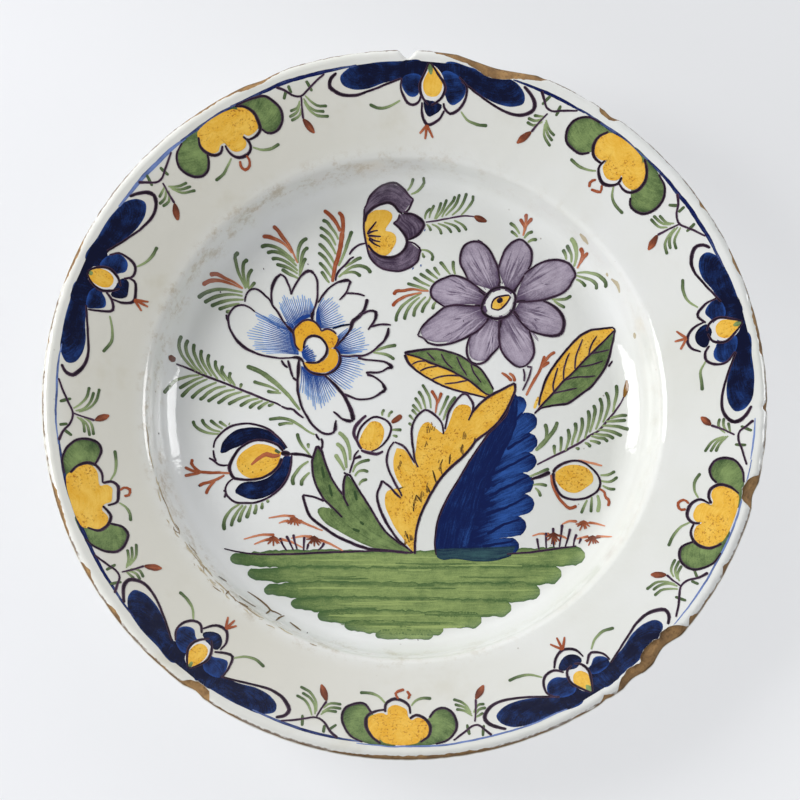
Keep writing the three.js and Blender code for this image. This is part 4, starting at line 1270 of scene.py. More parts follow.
def paint_ferns():
    upper = Painting("upper_left_ferns")
    upper.leaflets("-101,57 -98,59.5 -93,61.8 -88,62.5 -84,62.2 -79,61.2; -98,55.3 -93.5,58 -88,59.8 "
                   "-83,60 -79,59.3; -94.7,53.8 -90,56 -85,57.3 -78.5,57.5; -91,52.5 -87,54 -83,55 "
                   "-80.5,55.5; -87.3,51 -85,52; -81,80.5 -83,78.5 -82.5,76 -81.3,71.5 -79,66.5 -77.5,63; "
                   "-76.5,77.5 -78.5,76 -79,73 -78.3,68 -77,63.5; -74.3,73 -76,70.5 -76.5,67 -76.2,63; "
                   "-73,66.5 -74.5,64.5 -76,62.5; -70.3,83.8 -67,84.8 -63,84 -58,81 -53.5,77; -67.3,81 "
                   "-64.5,81.8 -60,80.8 -56,78 -52.5,74.5; -65,78.2 -62,78.3 -58,76.8 -54,74 -52,72; "
                   "-62.7,75.5 -59,74.5 -55,72.7 -52,70.5; -60,73 -57.5,71.3 -54.5,69.7 -51.8,68.3; "
                   "-47.3,88.7 -49.5,87.5 -51.3,84.5 -52,80 -52,76; -46.8,84 -48.5,82.8 -49.8,80 -50.5,76 "
                   "-51,71; -48,78.7 -49.3,76.5 -50.3,73 -51.3,69.5", 1.9)
    upper.stroke("-98.8,63.3 -95,65.8 -90,66.4 -84,65 -79,63; -95.3,68.5 -92,69.3 -88,68 -83,66 -79,63.2; "
                 "-64.3,94 -62,92.3 -59.5,89 -57,86 -55,82.5 -53,78 -52,76; -69.5,88.8 -66,88.8 -62,87.5 "
                 "-58,85 -55,81", (1.9, 2, 1.6, 1, 0.7), "red", (0.9, 0.6, 0.3))
    upper.done()
    middle = Painting("middle_fern")
    middle.stroke("-35,66.5 -34.5,70 -33.5,75 -32,80 -30.8,86 -30,92", (1.4, 2, 2.2, 2.2, 2.4), "red", 0.75)
    middle.stroke("-29.9,91 -29.8,97 -30.5,100.5 -32.2,101.8; -31,92 -32.3,95 -34.5,98.5 -37,101 "
                  "-39.3,102.5", (1.6, 1.8, 2.2, 1.8), "red", (0.6, 0.95))
    middle.leaflets("-40,97.9 -37.8,97 -35.5,94 -33.3,91 -32,88; -41.3,94.3 -38.5,92.7 -35.5,89.5 "
                    "-33.3,85; -41.2,90.5 -38,88.3 -35.5,85 -33.3,80.5; -41.8,86 -39,83.5 -36,79.5 "
                    "-34,75.5; -42,81.5 -39,79 -36.5,75.5 -34.5,72; -41.5,76.5 -39,74 -37,71 -35.3,68.5; "
                    "-40.5,72 -38.5,69 -36.5,66; -25.3,92.5 -27,88 -28.5,83 -30,79 -32,74.5; -20.5,79 "
                    "-23,78 -26,76 -29,74; -16,71 -17.5,73.3 -21,74.8 -25,74.3 -28.5,72 -32,69; -21,69.3 "
                    "-23.5,71.3 -27,71.5 -30,70.5", 1.8)
    middle.done()
    top = Painting("top_fern")
    top.stroke("11,97 16,97.7 20,98.5 24,99.3 28,100 32,100.2 35,99.8", 1, "outline", 0.5, 1)
    top.stroke("35,100 38,98.5 41.2,97.3", (1.4, 3, 2.8, 1.2), "bud red", (0.6, 0.8))
    top.leaflets("10.7,98.5 11,101 12.3,103 13.7,104; 12.8,99 13.5,102 15.3,105.7; 15.5,98.5 16.5,101 "
                 "17.8,104 18.8,107; 16,98.5 19,102.5 20.5,105.5 21.5,108.3; 19,99.5 20.5,102.5 23,105.5 "
                 "25,108 25.5,109.7; 20.8,100.3 23.5,103 26.2,106.3 27.8,110.5; 24,100.5 27,103 29.5,106.5 "
                 "31.3,110.8; 28.5,100.7 31,103 33,105.5 34.5,108 34.3,109.7; 11.5,96 12.8,94.5 13.7,92.5; "
                 "14,96 17,94.5 18.6,92 18.5,90.7; 17,96.5 20.5,95 22.7,93.5 23.8,91.5; 20,97 23.5,96 "
                 "26.3,94.5 28.1,92; 25,98 28,96.5 30.3,94.5 31.3,92.8", 1.5, tip_last=True)
    top.stroke("10.3,93 10.8,92.8; 4.4,73.6 4.9,73.3; 8.3,75 8.9,75", 1.2, "sky", 0.7)
    top.done()
    near = Painting("purple_flower_ferns")
    near.leaflets("1.8,66 5,65 12,62.5; 4.8,69 8,67 13,64.5; 8,71 11,69 16,66; 11,73 14,70.5 17,68.3; "
                  "15,74.3 16.5,72 18,70; 18,77 20.5,74 23,70.5; 24.5,77.5 24.5,74 25.5,70.5; -3.7,46.5 "
                  "-3.5,49 -2,52.5 1,56 5,58.8 9,61; 0.3,47.5 1.5,51.5 4,55.5 8,59; 5,49 5.5,52.5 8,56 "
                  "11,59.3; 9,51 10,54 12.5,57.5 13.5,60; 14.3,52.7 15,55.5 16,57; 52.5,96.5 55,94.5 "
                  "57.5,91; 53,92.5 55,91 56.5,89.5; 64,91.7 62,91.3 59.5,88.8; 66,87.8 63.5,88 61.3,86.8; "
                  "78.5,82.5 79.8,80 80.3,77.5; 80.3,84.3 81.5,82 82.7,79.5 82.7,76; 99.3,62.3 99.3,64.5 "
                  "97.5,67 94,69.5 90,70.8 85.5,71; 94.8,62.2 95,64 93,66.5 89,68.3 85,69.8; 89.8,64 "
                  "88,66.3 85,68; 82.7,60 80,58.3 77,58 73,58; 79.5,53.8 76.5,55.5 74,57.5", 1.7)
    near.stroke("82,86.8 83.5,85 84.8,82 85,78 84,74", (1.8, 2, 1.6, 1), "green", 0.2, 1)
    near.stroke("-4.8,60 -4,61.7 0,62.2 5,63 9,62.3 12.5,62; -5.5,54.3 -3.5,56.8 0,58.8 5,60.5 9,61.3; "
                "57.5,98 58.8,96 60,94 59.6,92 59,90; 63.5,97.8 62,96.3 60.3,94.5 60,92; 60.5,100 60.5,97 "
                "60.2,94; 86.8,82 88,79.5 87.5,77 85.5,73; 90.5,79.3 89,78 87,75", (1.8, 1.6, 1.2, 0.8),
                "red", (0.95, 0.6, 0.35))
    near.done()
    big = Painting("big_left_fern")
    big.stroke("-60,4 -62.5,5.5 -66,6.6 -70,8.2 -75,10.3 -80,12.3 -84,14 -90,16.3 -95,18.2 -99,19.8 "
               "-104,22 -108,23.3 -111.5,24.2", 1.3, "outline", 0.75, 1)
    big.stroke("-115,27.3 -113.5,26.5 -112,25.3", 2.9, "bud red", 0.8)
    big.leaflets("-101,20.8 -105,24.5 -108.5,28.5 -110,32.5 -109.9,35.5 -108.8,38.2; -98.5,20.2 -101.5,23 "
                 "-104.5,27 -106.5,31 -106.8,34 -105.7,36.7; -96.5,19.5 -99.5,23.5 -101.8,28 -103,32 "
                 "-102.7,35; -94,18.8 -96.5,22.5 -98.7,26.5 -99.5,29.8 -99,32.2; -91,17.3 -94,21.5 "
                 "-95.8,25.3 -96,28 -95.3,30; -87.5,16.5 -90.5,20.5 -92.2,24 -92.2,27; -84.5,15 -87.5,19 "
                 "-89.3,22 -88.5,24.3; -82.5,14 -84.5,17 -85.5,19.3 -84.7,21; -80,13 -79.5,15.5; -100,19.5 "
                 "-104,19 -108,17.8 -111,16.5 -115,12 -117.3,8.8; -98,18.7 -102.5,17 -107,14.3 -110,12.3; "
                 "-96,17.5 -100.5,15.5 -105,12.5 -107.5,9.8 -109,8.2; -91.5,15.8 -96,14 -100,11.5 -103,8.8 "
                 "-104,7.7; -87,14 -91.5,13 -95.5,10.8 -98.5,8 -100,7; -82.5,12.3 -87.5,11.3 -92,9 -95,6.8 "
                 "-96,6; -79,11 -83.5,10 -87.5,8 -90.3,5.8 -91.3,5.3; -75,9.3 -79,8.3 -83,6.5 -86,4.7; "
                 "-71,7.7 -75,7 -78.5,5 -80.3,3.8; -69,6.8 -72.5,5.3 -75.8,2.9; -66,6.3 -69,4.5 -71.5,2.5; "
                 "-63.5,5.2 -66.5,4", 1.8, tip_last=True)
    big.stroke("-60,4 -57.5,2.8 -54.5,2.5 -52,0.3 -49,-2", 1.3, "outline", 0.8)
    big.stroke("-77,24 -73,22.5 -68.5,20 -64.5,17 -60,13 -57,10 -53.5,5.5 -50.7,2",
               (2.3, 2.5, 2.3, 1.8, 1.1), "green", (0.8, 0.5, 0.3), 1)
    big.leaflets("-73.7,16.3 -69,14.8 -65,13.5 -61,11.5; -67,11.5 -63,10.8 -60,10.5; -103,-3.3 -102.3,-5.5 "
                 "-99.5,-8 -95,-9.7 -90,-10; -98.7,-2.5 -97.5,-5 -94.5,-7.5 -89.5,-9; -94.7,-3 -92,-5.3 "
                 "-88.5,-7.5; -90.3,-3.6 -88,-5.3 -86.5,-6.3; -85.6,-4.8 -85,-5.1; -66,-2.7 -60,-2 "
                 "-55.5,-3 -51,-5.5 -47,-8.5 -43.5,-10.3; -61.5,-5.3 -58,-4.6 -54,-4.8; -3.5,34.7 -8,34 "
                 "-13,32.3 -16,31.5; -4.5,27.5 -7,29.3 -10,30.3 -15,31; -52,-9.5 -51.5,-12 -49.5,-16 "
                 "-47.3,-18.5 -45.5,-21; -46.8,-14.5 -46.5,-17", 1.7)
    big.stroke("-32,-9 -29.5,-11 -27.5,-14 -26.5,-18 -26.2,-23; -33,-14.5 -30.5,-16.5 -29,-20 -28,-27; "
               "-33.5,-20 -31,-24 -28.8,-28", (1.9, 2.1, 1.6, 1.1), "green", 0.25, 1)
    big.stroke("-43,-9.8 -42,-12 -41,-13; -40.3,-12 -39.8,-16 -40.5,-18", 1.3, "outline", 0.9)
    big.done()
    right = Painting("right_fern")
    right.stroke("65,-25 69,-23 73,-21 79,-18 83,-15.8 87,-13.5 91,-10.5 95,-8.3 98,-5 101,-1.5 104,2.3 "
                 "106.5,6 108,9", 1.2, "outline", 0.6, 1)
    right.stroke("108,8.5 109,12.5 109.5,17", (1, 2.6, 2.4, 0.9), "brown", 0.8)
    right.leaflets("102.5,1 103.5,6 104.5,10 104.3,15; 97.5,-4 99.5,1 100.5,5 100.3,8.5 99.2,11.5; 94,-7.5 "
                   "96,-2 97,3 97,6 96,8.5; 91,-9 92.5,-4.5 93.5,0 93.8,2.5 93,5; 88.5,-12 90,-7 90.8,-3 "
                   "90.8,0 90.2,2.3; 84.8,-14 86.5,-9.5 87.5,-5 87.2,-1.3; 82,-15.5 83.3,-11 84.3,-7 "
                   "84,-3.8; 79,-18 80.3,-14 81,-10.5 80.3,-7; 76.5,-18.5 77,-14.5 77,-10.8; 73.8,-20 "
                   "73.5,-15; 101,-2 104,-1 107,-0.5 109.5,-0.7; 99,-3.5 103,-3.2 109,-3; 97,-5.5 101,-5.5 "
                   "105,-6 108,-7 110.3,-7.7; 95,-7.5 99,-7.8 103,-8.8 106.8,-10.8; 93,-9.5 97,-10 "
                   "100.5,-10.5 103,-12; 91.5,-10.5 95,-11.5 98.5,-12 99.8,-13.7; 91,-13 94,-13.5 "
                   "96.3,-14.5; 88.5,-14 90.5,-15 91.3,-16.3; 84,-16.5 86,-17.3", 1.8, tip_last=True)
    right.stroke("64.5,-18 68,-14.5 71,-11 73.5,-8 75.3,-3.5", (1.6, 2.4, 2.2, 1.6), "green", (0.4, 0.8), 1)
    right.stroke("69.5,-12.5 70,-9 69.3,-4.5", (1.2, 1.8, 2), "green", (0.4, 0.9), 1)
    right.done()


def paint_two_tone_leaves():
    ink = Painting("two_tone_leaves")
    rib = "0.8,30.4 7,28.7 13,26 18,24 23,22 28,19.3 32,17 36,14 40,10.5 43.5,9.5"
    ink.between("0.6,30.8 5,31.8 10,32.5 16,32.8 22,31.5 27,29.8 31,27.5 34,25.2 37,23.5 39.5,20.5 42,16.5 "
                "44,12", rib, "lobe green", (0.55, 0.4), 0, 8, 1.5)
    ink.between(rib, "0.7,30 2,26.5 5,23 9,20 14,17 20,14 26,12 31,10.8 36,9.5 42,8.3", "yellow", 0.5, 0, 8,
                1.5)
    ink.stroke("4,25 7,26.5 12,26.8; 8,21.7 12,23.5 17,24.2; 13.5,17.5 19,19.2 25,19.5 28.5,19.3; 20,15.3 "
               "26,16 31,17; 11.5,31 13.5,29 15.5,27; 18.5,30.5 20.5,26.5 24,23; 26,29 28,24.5 31,19.5; "
               "33,25 34.5,21 38,16", 0.9, "outline", 0.8)
    ink.stroke(rib, 1.2, "outline", 0.9)
    ink.stroke("0.3,30.7 5,31.8 10,32.5 16,32.8 22,31.5 27,29.8 31,27.5 34,25.2 37,23.5 39.5,20.5 42,16.5 "
               "44,12.5; 0.5,30 2,26.5 5,23 9,20 14,17 20,14 26,12 31,10.8 36,9.5 41,8.2",
               (1.8, 1.2, 1.2, 1.2, 1), "outline", 0.9)
    rib = "64,0.5 68,5 73,10.5 78,16.3 83,21 88,26.5 93,31.5 97,35.5 101,39.5 103.7,41.9"
    ink.between("64.5,1 66.3,4.5 66.8,8 68,12.5 70,18 72.5,22.5 76,27.5 80,32.5 84,37 88,40.5 92.5,42.6 "
                "96,43 100,43.3 103.8,42.2", rib, "yellow", 0.5, 0, 8, 1.6)
    ink.between(rib,
                "64.3,0.3 67,3 71,4.2 76,5 80,5.5 84,8 88,11 92,14 95.5,18.5 98,22 100,26 101,29 102,33 "
                "103,37.5 104,41.8", "lobe green", (0.4, 0.65), 0, 8, 1.6)
    ink.stroke("73.5,11 73.3,15 74.5,19.5 75.7,23.5; 78.5,17 78.5,21 79.5,26 81.5,31; 84,23 84.5,28 86,33 "
               "88,38; 91,30 92,34.5 95,39.5; 73,10.5 79,12 85,13.3; 79,17.3 84,18.7 90,19 94,19.5; "
               "85.5,23.8 92,25 98,27; 92,30.5 96,31.5 101,32.5", 0.9, "outline", 0.8)
    ink.stroke(rib, 1.2, "outline", 0.9)
    ink.stroke("66.3,4.5 66.8,8 68,12.5 70,18 72.5,22.5 76,27.5 80,32.5 84,37 88,40.5 92.5,42.6 96,43 "
               "100,43.3 103,43.2 104,42; 104,42 103,37.5 102,33 101,29 100,26 98,22 95.5,18.5 92,14 88,11 "
               "84,8 80,5.5 76,5 71,4.2 67,3 64,0.5; 100.5,24 102.5,27", 1.3, "outline", 0.95)
    ink.stroke("60,9.5 62,13.5 64.5,18 67,22.5 68.3,26 69.3,29.5; 68,24.5 70,27.5 72,30 74.5,31.5; "
               "67.5,23.5 70,25.3 71.5,26.5; 48,21 51,19 53,16.8; 51.7,20.8 54,19 54.5,16.5",
               (1, 1.5, 1.4, 1.7), "red", (0.5, 0.9), 1)
    ink.stroke("64,3 65,6 66,9", 1.4, "yellow", 0, 0)
    ink.done()


def paint_lobed_leaves():
    ink = Painting("yellow_lobed_leaf")
    ink.between("-3.5,-17 -5,-22 -5,-27 -3.5,-32 -1,-37 -5,-37.2 -8.3,-38.5 -9.3,-42 -9,-46 -7,-51 -4,-57 "
                "-1,-61 2,-65.5 5.2,-69.3",
                "-3.4,-16.9 0,-17.5 3,-21.5 5.5,-26 9,-29 12,-34 13,-40 11.5,-43 10,-46 8.5,-50 7.2,-54 "
                "6.2,-59 5.6,-64 5.3,-69.5", "yellow", (0.55, 0.5, 0.45), 0, 14, 1.7)
    ink.between("6,-18 6.5,-12 8,-7 10,-4.3 12,-3.7 14,-5.5 17,-8 19.3,-9.5 20.5,-8 23,-2 25,3 27,4.7 30,5 "
                "32.5,4 33.3,0 33.5,1 37,5 41,8.5 45,10.8 49,13 54.3,15.6",
                "4.5,-23 7,-31 10.5,-38 12.8,-40.5 14,-38.5 15.5,-36 17,-33.5 18.5,-31.5 21,-28.7 24,-25.8 "
                "29,-21.2 33,-16.8 35,-13.8 38,-11.3 42,-8.3 46,-4.3 49,-0.3 51.5,4.3 53.5,8.8 54.6,13",
                "yellow", (0.5, 0.55, 0.5), 0.1, 16, 1.7)
    ink.stroke("34.9,-11.5 34.5,-14.5; 28.8,-14.9 28.4,-17 28,-19.1; 22.7,-19.9 22.2,-24.9; 19,-22.4 "
               "17.9,-25.8 18.7,-29.9; 14.1,-27.9 14.9,-30.8 15.9,-34.3; 11.4,-35.8 12.8,-39.1; 6.1,-40 "
               "5.1,-44.2 4.6,-48.3; 6.3,-40.4 8.7,-43.7; 0.5,-58 1.3,-60 2,-62; -1.8,-20.4 -1.6,-21",
               (0.5, 1, 0.6), "sepia", 0.9, 0.9)
    for x, y, wide, high in ((13.5, -5.5, 2.6, 2.4), (11.8, -11, 1.6, 5), (18.2, -25.5, 1.6, 3.6),
                             (28.5, -16.5, 1, 2.4), (29.8, -9.6, 0.8, 2), (10.8, -35.6, 1, 2),
                             (5.5, -43.5, 1.3, 4), (1.6, -61, 1.6, 3), (-2, -24, 1, 3), (9, -40, 0.8, 2),
                             (3.8, -61, 0.6, 1.6)):
        for k in range(6):
            start = Vector((x + ink.random.uniform(-wide, wide), y + ink.random.uniform(-high, high)))
            end = start + Vector((ink.random.uniform(-0.8, 0.8), -ink.random.uniform(0.8, 2.6)))
            ink.stroke([start, end], (0.4, 0.9, 0.5), "sepia", (-0.2, 0.55), 0.8)
    ink.stroke("-4.7,-13.8 -6.5,-16 -8.3,-22 -8,-26 -6,-31 -3.5,-36 -1.5,-39.5 -1,-41; -4.5,-13.8 0,-16 "
               "3,-20.3 5.3,-24.3; -10.5,-33 -9.5,-34 -6.5,-36.5 -4,-39.5 -1.5,-41.8; 7,-26.5 5.5,-23 "
               "4.7,-18 4,-13 4,-7 5.5,-2.5 8,0.5 10.5,2.2 13,1.3 16,-1 18.3,-4 19.2,-7.5 19.3,-10; "
               "20.2,-7.5 21,-3 22,1 24,4.5 26.5,7.8 29,10.2 30.5,10.3 32.5,8 34,5 34,2 32.8,-0.5 31.7,-3",
               1.2, "outline", 0.85)
    ink.stroke("-10.5,-33 -11.5,-35.5 -13,-39.5 -12.8,-43.5 -11,-49 -8.5,-54 -5.5,-59 -2,-63.5 0.5,-65.5; "
               "33.5,1 37,5 41,8.5 45,10.8 49,13 52.5,14.8 54.5,15.8; 54.5,15.8 54.7,13 53.5,9 51.5,4.5 "
               "49,0 46,-4 42,-8 38,-11 35,-13.5 33,-16.5 29,-21 24,-25.5 20,-29.5 16.5,-34 13,-40 10,-46 "
               "7.5,-52 6,-58 5.3,-64 5.3,-69.5", (1.4, 1.3, 1.6, 1.4, 1.3), "outline", 0.9)
    ink.leaflets("9,15 11,12 12.8,8 13.3,3; 7.2,11.7 9,9 10,5.5 10.8,2.5; 5.5,8.5 7.5,5.5 8.7,2.5; 4.3,5 "
                 "6,3 8,1; 4,2.5 5.5,0.8 6.5,-0.5; 2.5,-0.3 4.8,-2.7; 2.3,-4.3 4.3,-5.8; 22,9.5 20.5,6.5 "
                 "18.5,2 17.3,-0.5; 25.5,9 23.5,6.5 21,2 19.2,-3", 1.5)
    ink.stroke("13.5,12 15,9.8 16.3,7 16,3.5 15.5,0.5; 18.5,11 17.7,8.5 16.7,5.5", (1.6, 1.5, 1, 0.7), "red",
               (0.9, 0.5))
    ink.done()

    ink = Painting("green_leaf")
    ink.between("-42.3,-15.8 -44.5,-23 -44.3,-29 -43,-35 -40.5,-40 -38,-43.3 -36,-46.5 -33,-50 -29,-54 "
                "-22,-59.5 -14,-65 -4,-67.7 4,-69",
                "-42,-16.2 -39.3,-22.5 -37.3,-28 -34.7,-33.5 -31.7,-38 -29.5,-41 -28,-44.5 -25,-49 -21,-53 "
                "-16,-57.5 -10,-61.5 -2,-65.5 4.4,-68.8", "lobe green", (0.75, 0.45, 0.4), 0, 10, 1.6)
    ink.between("-28.2,-30.3 -29.2,-36 -29.3,-40.5 -28.3,-45 -24,-51 -18,-56.5 -10,-62 4,-69.2",
                "-27.8,-30.2 -25.2,-33 -22.7,-37 -19.2,-42.5 -15.2,-49 -11.7,-55 -8.2,-59.5 4.4,-69",
                "lobe green", (0.65, 0.45, 0.5), 0.2, 9, 1.6)
    ink.between("-37.5,-46.8 -40,-46.2 -42.3,-48 -41.5,-50 -38,-54.5 -33,-57.5 -27,-61 -20,-64.5 -14,-66.8 "
                "2,-69.2", "-36.5,-46.5 -34,-48.5 -31.5,-51.5 -28,-54.5 -24,-57.5 -19,-60.5 -13,-64 2,-68.8",
                "lobe green", (0.5, 0.45), 0.1, 9, 1.6)
    ink.stroke("-25,-57 -23.3,-57.8 -21.5,-58.3; -21.5,-53.5 -19.5,-55; -36.5,-35 -35,-41; -24,-38 "
               "-23,-43; -40,-26 -39,-32", (0.9, 1.5, 1), "lobe green", 1.3, 0.8)
    ink.stroke("-42.3,-15.8 -44.7,-23 -44.5,-29 -43,-35 -40.5,-40 -38.5,-43 -35,-46.3 -32,-49.3 -30,-51.5; "
               "-42.3,-15.8 -40.5,-18 -39,-22.5 -37,-28 -34.5,-33.5 -31.5,-38 -29.5,-40.5; -29.3,-40.5 "
               "-29.5,-36 -29,-32 -28,-30 -26.5,-30.3 -25,-32.5 -22.5,-37 -19,-42.5 -15,-49 -11.5,-55 "
               "-8,-59.5 -3,-63.5 1,-66 4.5,-69; -29.3,-29 -28.5,-29.6 -27,-30.5; -29.5,-40.5 -28.5,-43 "
               "-27,-45.8; -38.7,-43.2 -42,-42 -45,-41 -48,-40.5 -49.3,-40.3", (1.6, 1.2, 1.2, 1.2, 1.1),
               "outline", 0.9)
    ink.stroke("-49.3,-40.3 -48.7,-43 -47.5,-47 -45.5,-51.3 -43,-53.5 -39,-56.5 -34,-60 -28,-63 -22,-65.5 "
               "-17,-67 -11,-67.6 -4,-68.2 2,-69", (1.5, 1.6, 1.7, 1.7, 1.4), "outline", 0.95)
    ink.done()

    ink = Painting("blue_leaf")
    edge = ("54.3,11 52.5,7 50,-0.5 46,-5 42,-9 39,-13 35.5,-18 31,-25 27,-32 23,-38.5 20,-44 17.8,-49 "
            "16,-55 15.2,-61 15,-66 15.7,-70")
    ink.between(edge, "56,9 56,4 55,-6 54.5,-16 53.5,-26 52.5,-36 51,-46 48,-56 46,-64 44,-70",
                "ribbed blue", 0.9, 0, 12, 1.8, 0)
    # Each lobe is one fat stroke, from the rib to a round end at the leaf's edge.
    lobes = ("50.5,-6 55,2.5 58,8.8", "47,-15.5 55,-8 64.5,-0.8", "42,-25.5 54.5,-17.3 64.8,-11.5",
             "38.5,-35.5 52.9,-26.5 64.5,-21.7", "35.5,-45 51.2,-37.4 63,-32.3", "33.5,-54 50.4,-47.4 63.3,-43",
             "32,-62 47.9,-56.6 59.5,-54.7", "31,-68.5 46.2,-65.8 56,-65.3")
    for lobe, width in zip(lobes, (8, 9.5, 9.8, 10, 10.2, 10, 9.8, 8)):
        ink.stroke(lobe, (width * 0.5, width * 0.85, width, width), "ribbed blue",
                   (1.2, 0.85, 0.5, 0.35, 0.5, 0.85), 0.4, 0.2, 8)
    ink.stroke("58.2,1 54.5,-3.1 50.5,-7.3; 61.5,-10.2 56.2,-13.6 50.4,-17.3; 61.9,-20.2 52.9,-24.9 "
               "43.1,-29.9; 61,-30.7 51.2,-35.7 41.4,-40.7; 59.8,-41.1 51.2,-45.7 39.7,-49.9; 56.5,-52 "
               "48.7,-54.9 40.5,-59.5; 53.6,-62.9 46.2,-64.5 38.1,-65.8", (0.8, 1.2, 1.4, 1.6),
               "ribbed blue", (1.1, 1.3), 0.8, 0.3)
    ink.stroke("54.5,8 52.9,-2.3 50.4,-9.8 46.3,-17.4 41.4,-27.4 36.5,-37.4 34,-47.4 31.6,-55.8 29.1,-65.8",
               (3, 5, 6, 6, 5.5, 5, 4), "ribbed blue", (0.9, 0.95, 0.95, 0.9, 0.75), 0.7, 0.3, 6)
    ink.stroke("35,-47.5 32.4,-55 29.5,-64.5", (0.5, 2, 3), "ribbed blue", (0.9, 0.5), 0.9, 0.2, 4)
    ink.stroke("46,-22 52,-18 57,-15.5; 43,-33 50,-29 57,-26.5; 42,-43.5 49,-40.5 55,-38; 41,-53.5 48,-51 "
               "54,-49; 39,-62 45,-60.5 51,-60", (1.5, 3, 2), "ribbed blue", (0.7, 0.25, 0.4), 0.6, 0.2, 4)
    ink.stroke(edge, 1.1, "outline", 0.9)
    ink.done()


def paint_tulip():
    ink = Painting("tulip")
    ink.between("-89.7,-19 -88.7,-14.5 -86,-11 -82,-8 -77,-6.8 -70,-7 -65,-8.8 -61,-11.9 -57.3,-16.8",
                "-89,-19.6 -87,-19.3 -85,-18 -80,-16 -75,-13.3 -70,-12.5 -66,-13.3 -61.5,-15.8 -58.4,-18",
                "navy", (0.85, 0.9, 0.8), 0, 9, 1.2)
    ink.between("-82.3,-38 -80,-35 -77,-33.8 -72,-33.5 -67,-32 -63,-29 -60,-25 -58.3,-21 -56.5,-21",
                "-82,-39.5 -78,-41.5 -74,-42.6 -69,-41.9 -63.5,-39.2 -59.3,-35.2 -56.9,-31 -55.3,-26 "
                "-55,-21", "navy", (0.85, 0.9, 0.8), 0, 9, 1.2)
    ink.wash("-59.7,-19 -65,-16 -69,-15 -72,-15 -76,-17 -80.5,-21 -81.7,-24.5 -81,-27.5 -79,-30 -75,-32 "
             "-70,-31.8 -65.5,-29.8 -62.5,-26.8 -60.8,-23", "yellow", 0.5, 0.4, 12, 1.3)
    ink.stroke("-60.5,-20.5 -64,-21 -67.5,-20 -70,-21.5 -72.5,-23.5 -74.5,-25.5", (1.4, 2.6, 2.2, 1.8, 1),
               "bud red", 0.25, 0.8)
    ink.stroke("-76,-27.3 -75.6,-27.1; -77.5,-26 -77.2,-26; -79,-28.5 -78.6,-28.6; -74,-29 -73.4,-29; "
               "-70,-28 -69.3,-27.8", 0.9, "brown", 0.6, 0.9)
    ink.stroke("-63,-18 -61.5,-18.6 -60.5,-19.5", 1.6, "green", 0.8, 1)
    ink.stroke("-93,-17 -92.5,-14 -90.5,-11 -87.5,-8 -84,-6 -80,-5 -75,-4.8 -70,-6 -66,-7.7 -62.5,-10.5 "
               "-59.5,-13.5 -57,-17; -93,-18 -92.5,-21.5 -91.5,-23.5; -95.2,-22 -92.9,-23.2 -90.4,-25.3 "
               "-87.1,-25.7 -85.8,-25.5; -83,-32 -85.5,-34 -87,-37 -86.8,-39.5 -85,-42 -82,-44 -78,-44.3 "
               "-73,-44.2 -68,-42.5 -63,-39.5 -59,-35.5 -56.5,-31 -55,-25 -54.8,-20.5; -88,-38 -86.5,-39; "
               "-87.5,-41.8 -86.8,-39.5", 1.2, "outline", 0.85)
    ink.stroke("-59,-18.5 -61,-16 -65,-14 -70,-13 -74,-13.5 -78,-15.5 -81,-18 -82.5,-20.5 -84.5,-24 "
               "-85.2,-27 -84.5,-29.5 -83,-31.8 -80,-32.5 -76,-32.8 -71,-32.3 -67,-30.8 -63.5,-28.5 "
               "-61,-25.5 -59.5,-22", (1.6, 1.3, 1.4, 2, 1.4, 1.4, 1.8), "outline", 0.95)
    ink.stroke("-60,-19.8 -58,-19.5 -55.5,-20.3", (2.4, 3.2, 2.2), "outline", 1)
    ink.stroke("-56,-20 -52,-20 -48,-20.5 -45,-21.5 -43.8,-22", 1.6, "outline", 0.95)
    ink.stroke("-85,-29.5 -90,-29.3 -96,-29.2 -99.5,-28.8 -102.5,-26.5 -103.8,-24 -102.8,-22.8; -98,-29 "
               "-102,-28.8 -107,-27; -99,-29.2 -102,-30 -107,-31.3; -87.5,-30.5 -91,-32.5 -95,-34 "
               "-98.5,-35 -99.8,-36; -92,-33.3 -94.5,-36 -96,-38.5 -96.5,-40", (1, 1.4, 1.5, 1.7), "red",
               (0.6, 0.9))
    ink.stroke("-99.6,-35.8 -100.1,-36.2", 1.7, "outline", 0.9, 2.3)
    ink.leaflets("-80,-44.8 -84,-47.5 -86.5,-51 -87.8,-55 -87.4,-58; -78.5,-45.3 -81.3,-49 -83.3,-52.5 "
                 "-84,-56; -77,-45.5 -78.8,-49 -80,-52 -80.3,-54; -74.3,-45 -75.5,-48.5 -76.7,-52; -72,-45 "
                 "-72.3,-48 -73,-50; -69,-44 -69.3,-47.5; -66.3,-42.5 -66.3,-44.2; -46.5,-23.5 -49.5,-25.5 "
                 "-52.5,-29 -54.3,-32.5 -54,-35.5; -46,-29 -48.5,-31.5 -50,-34 -49.8,-35.8", 1.9,
                 tip_last=True)
    ink.done()


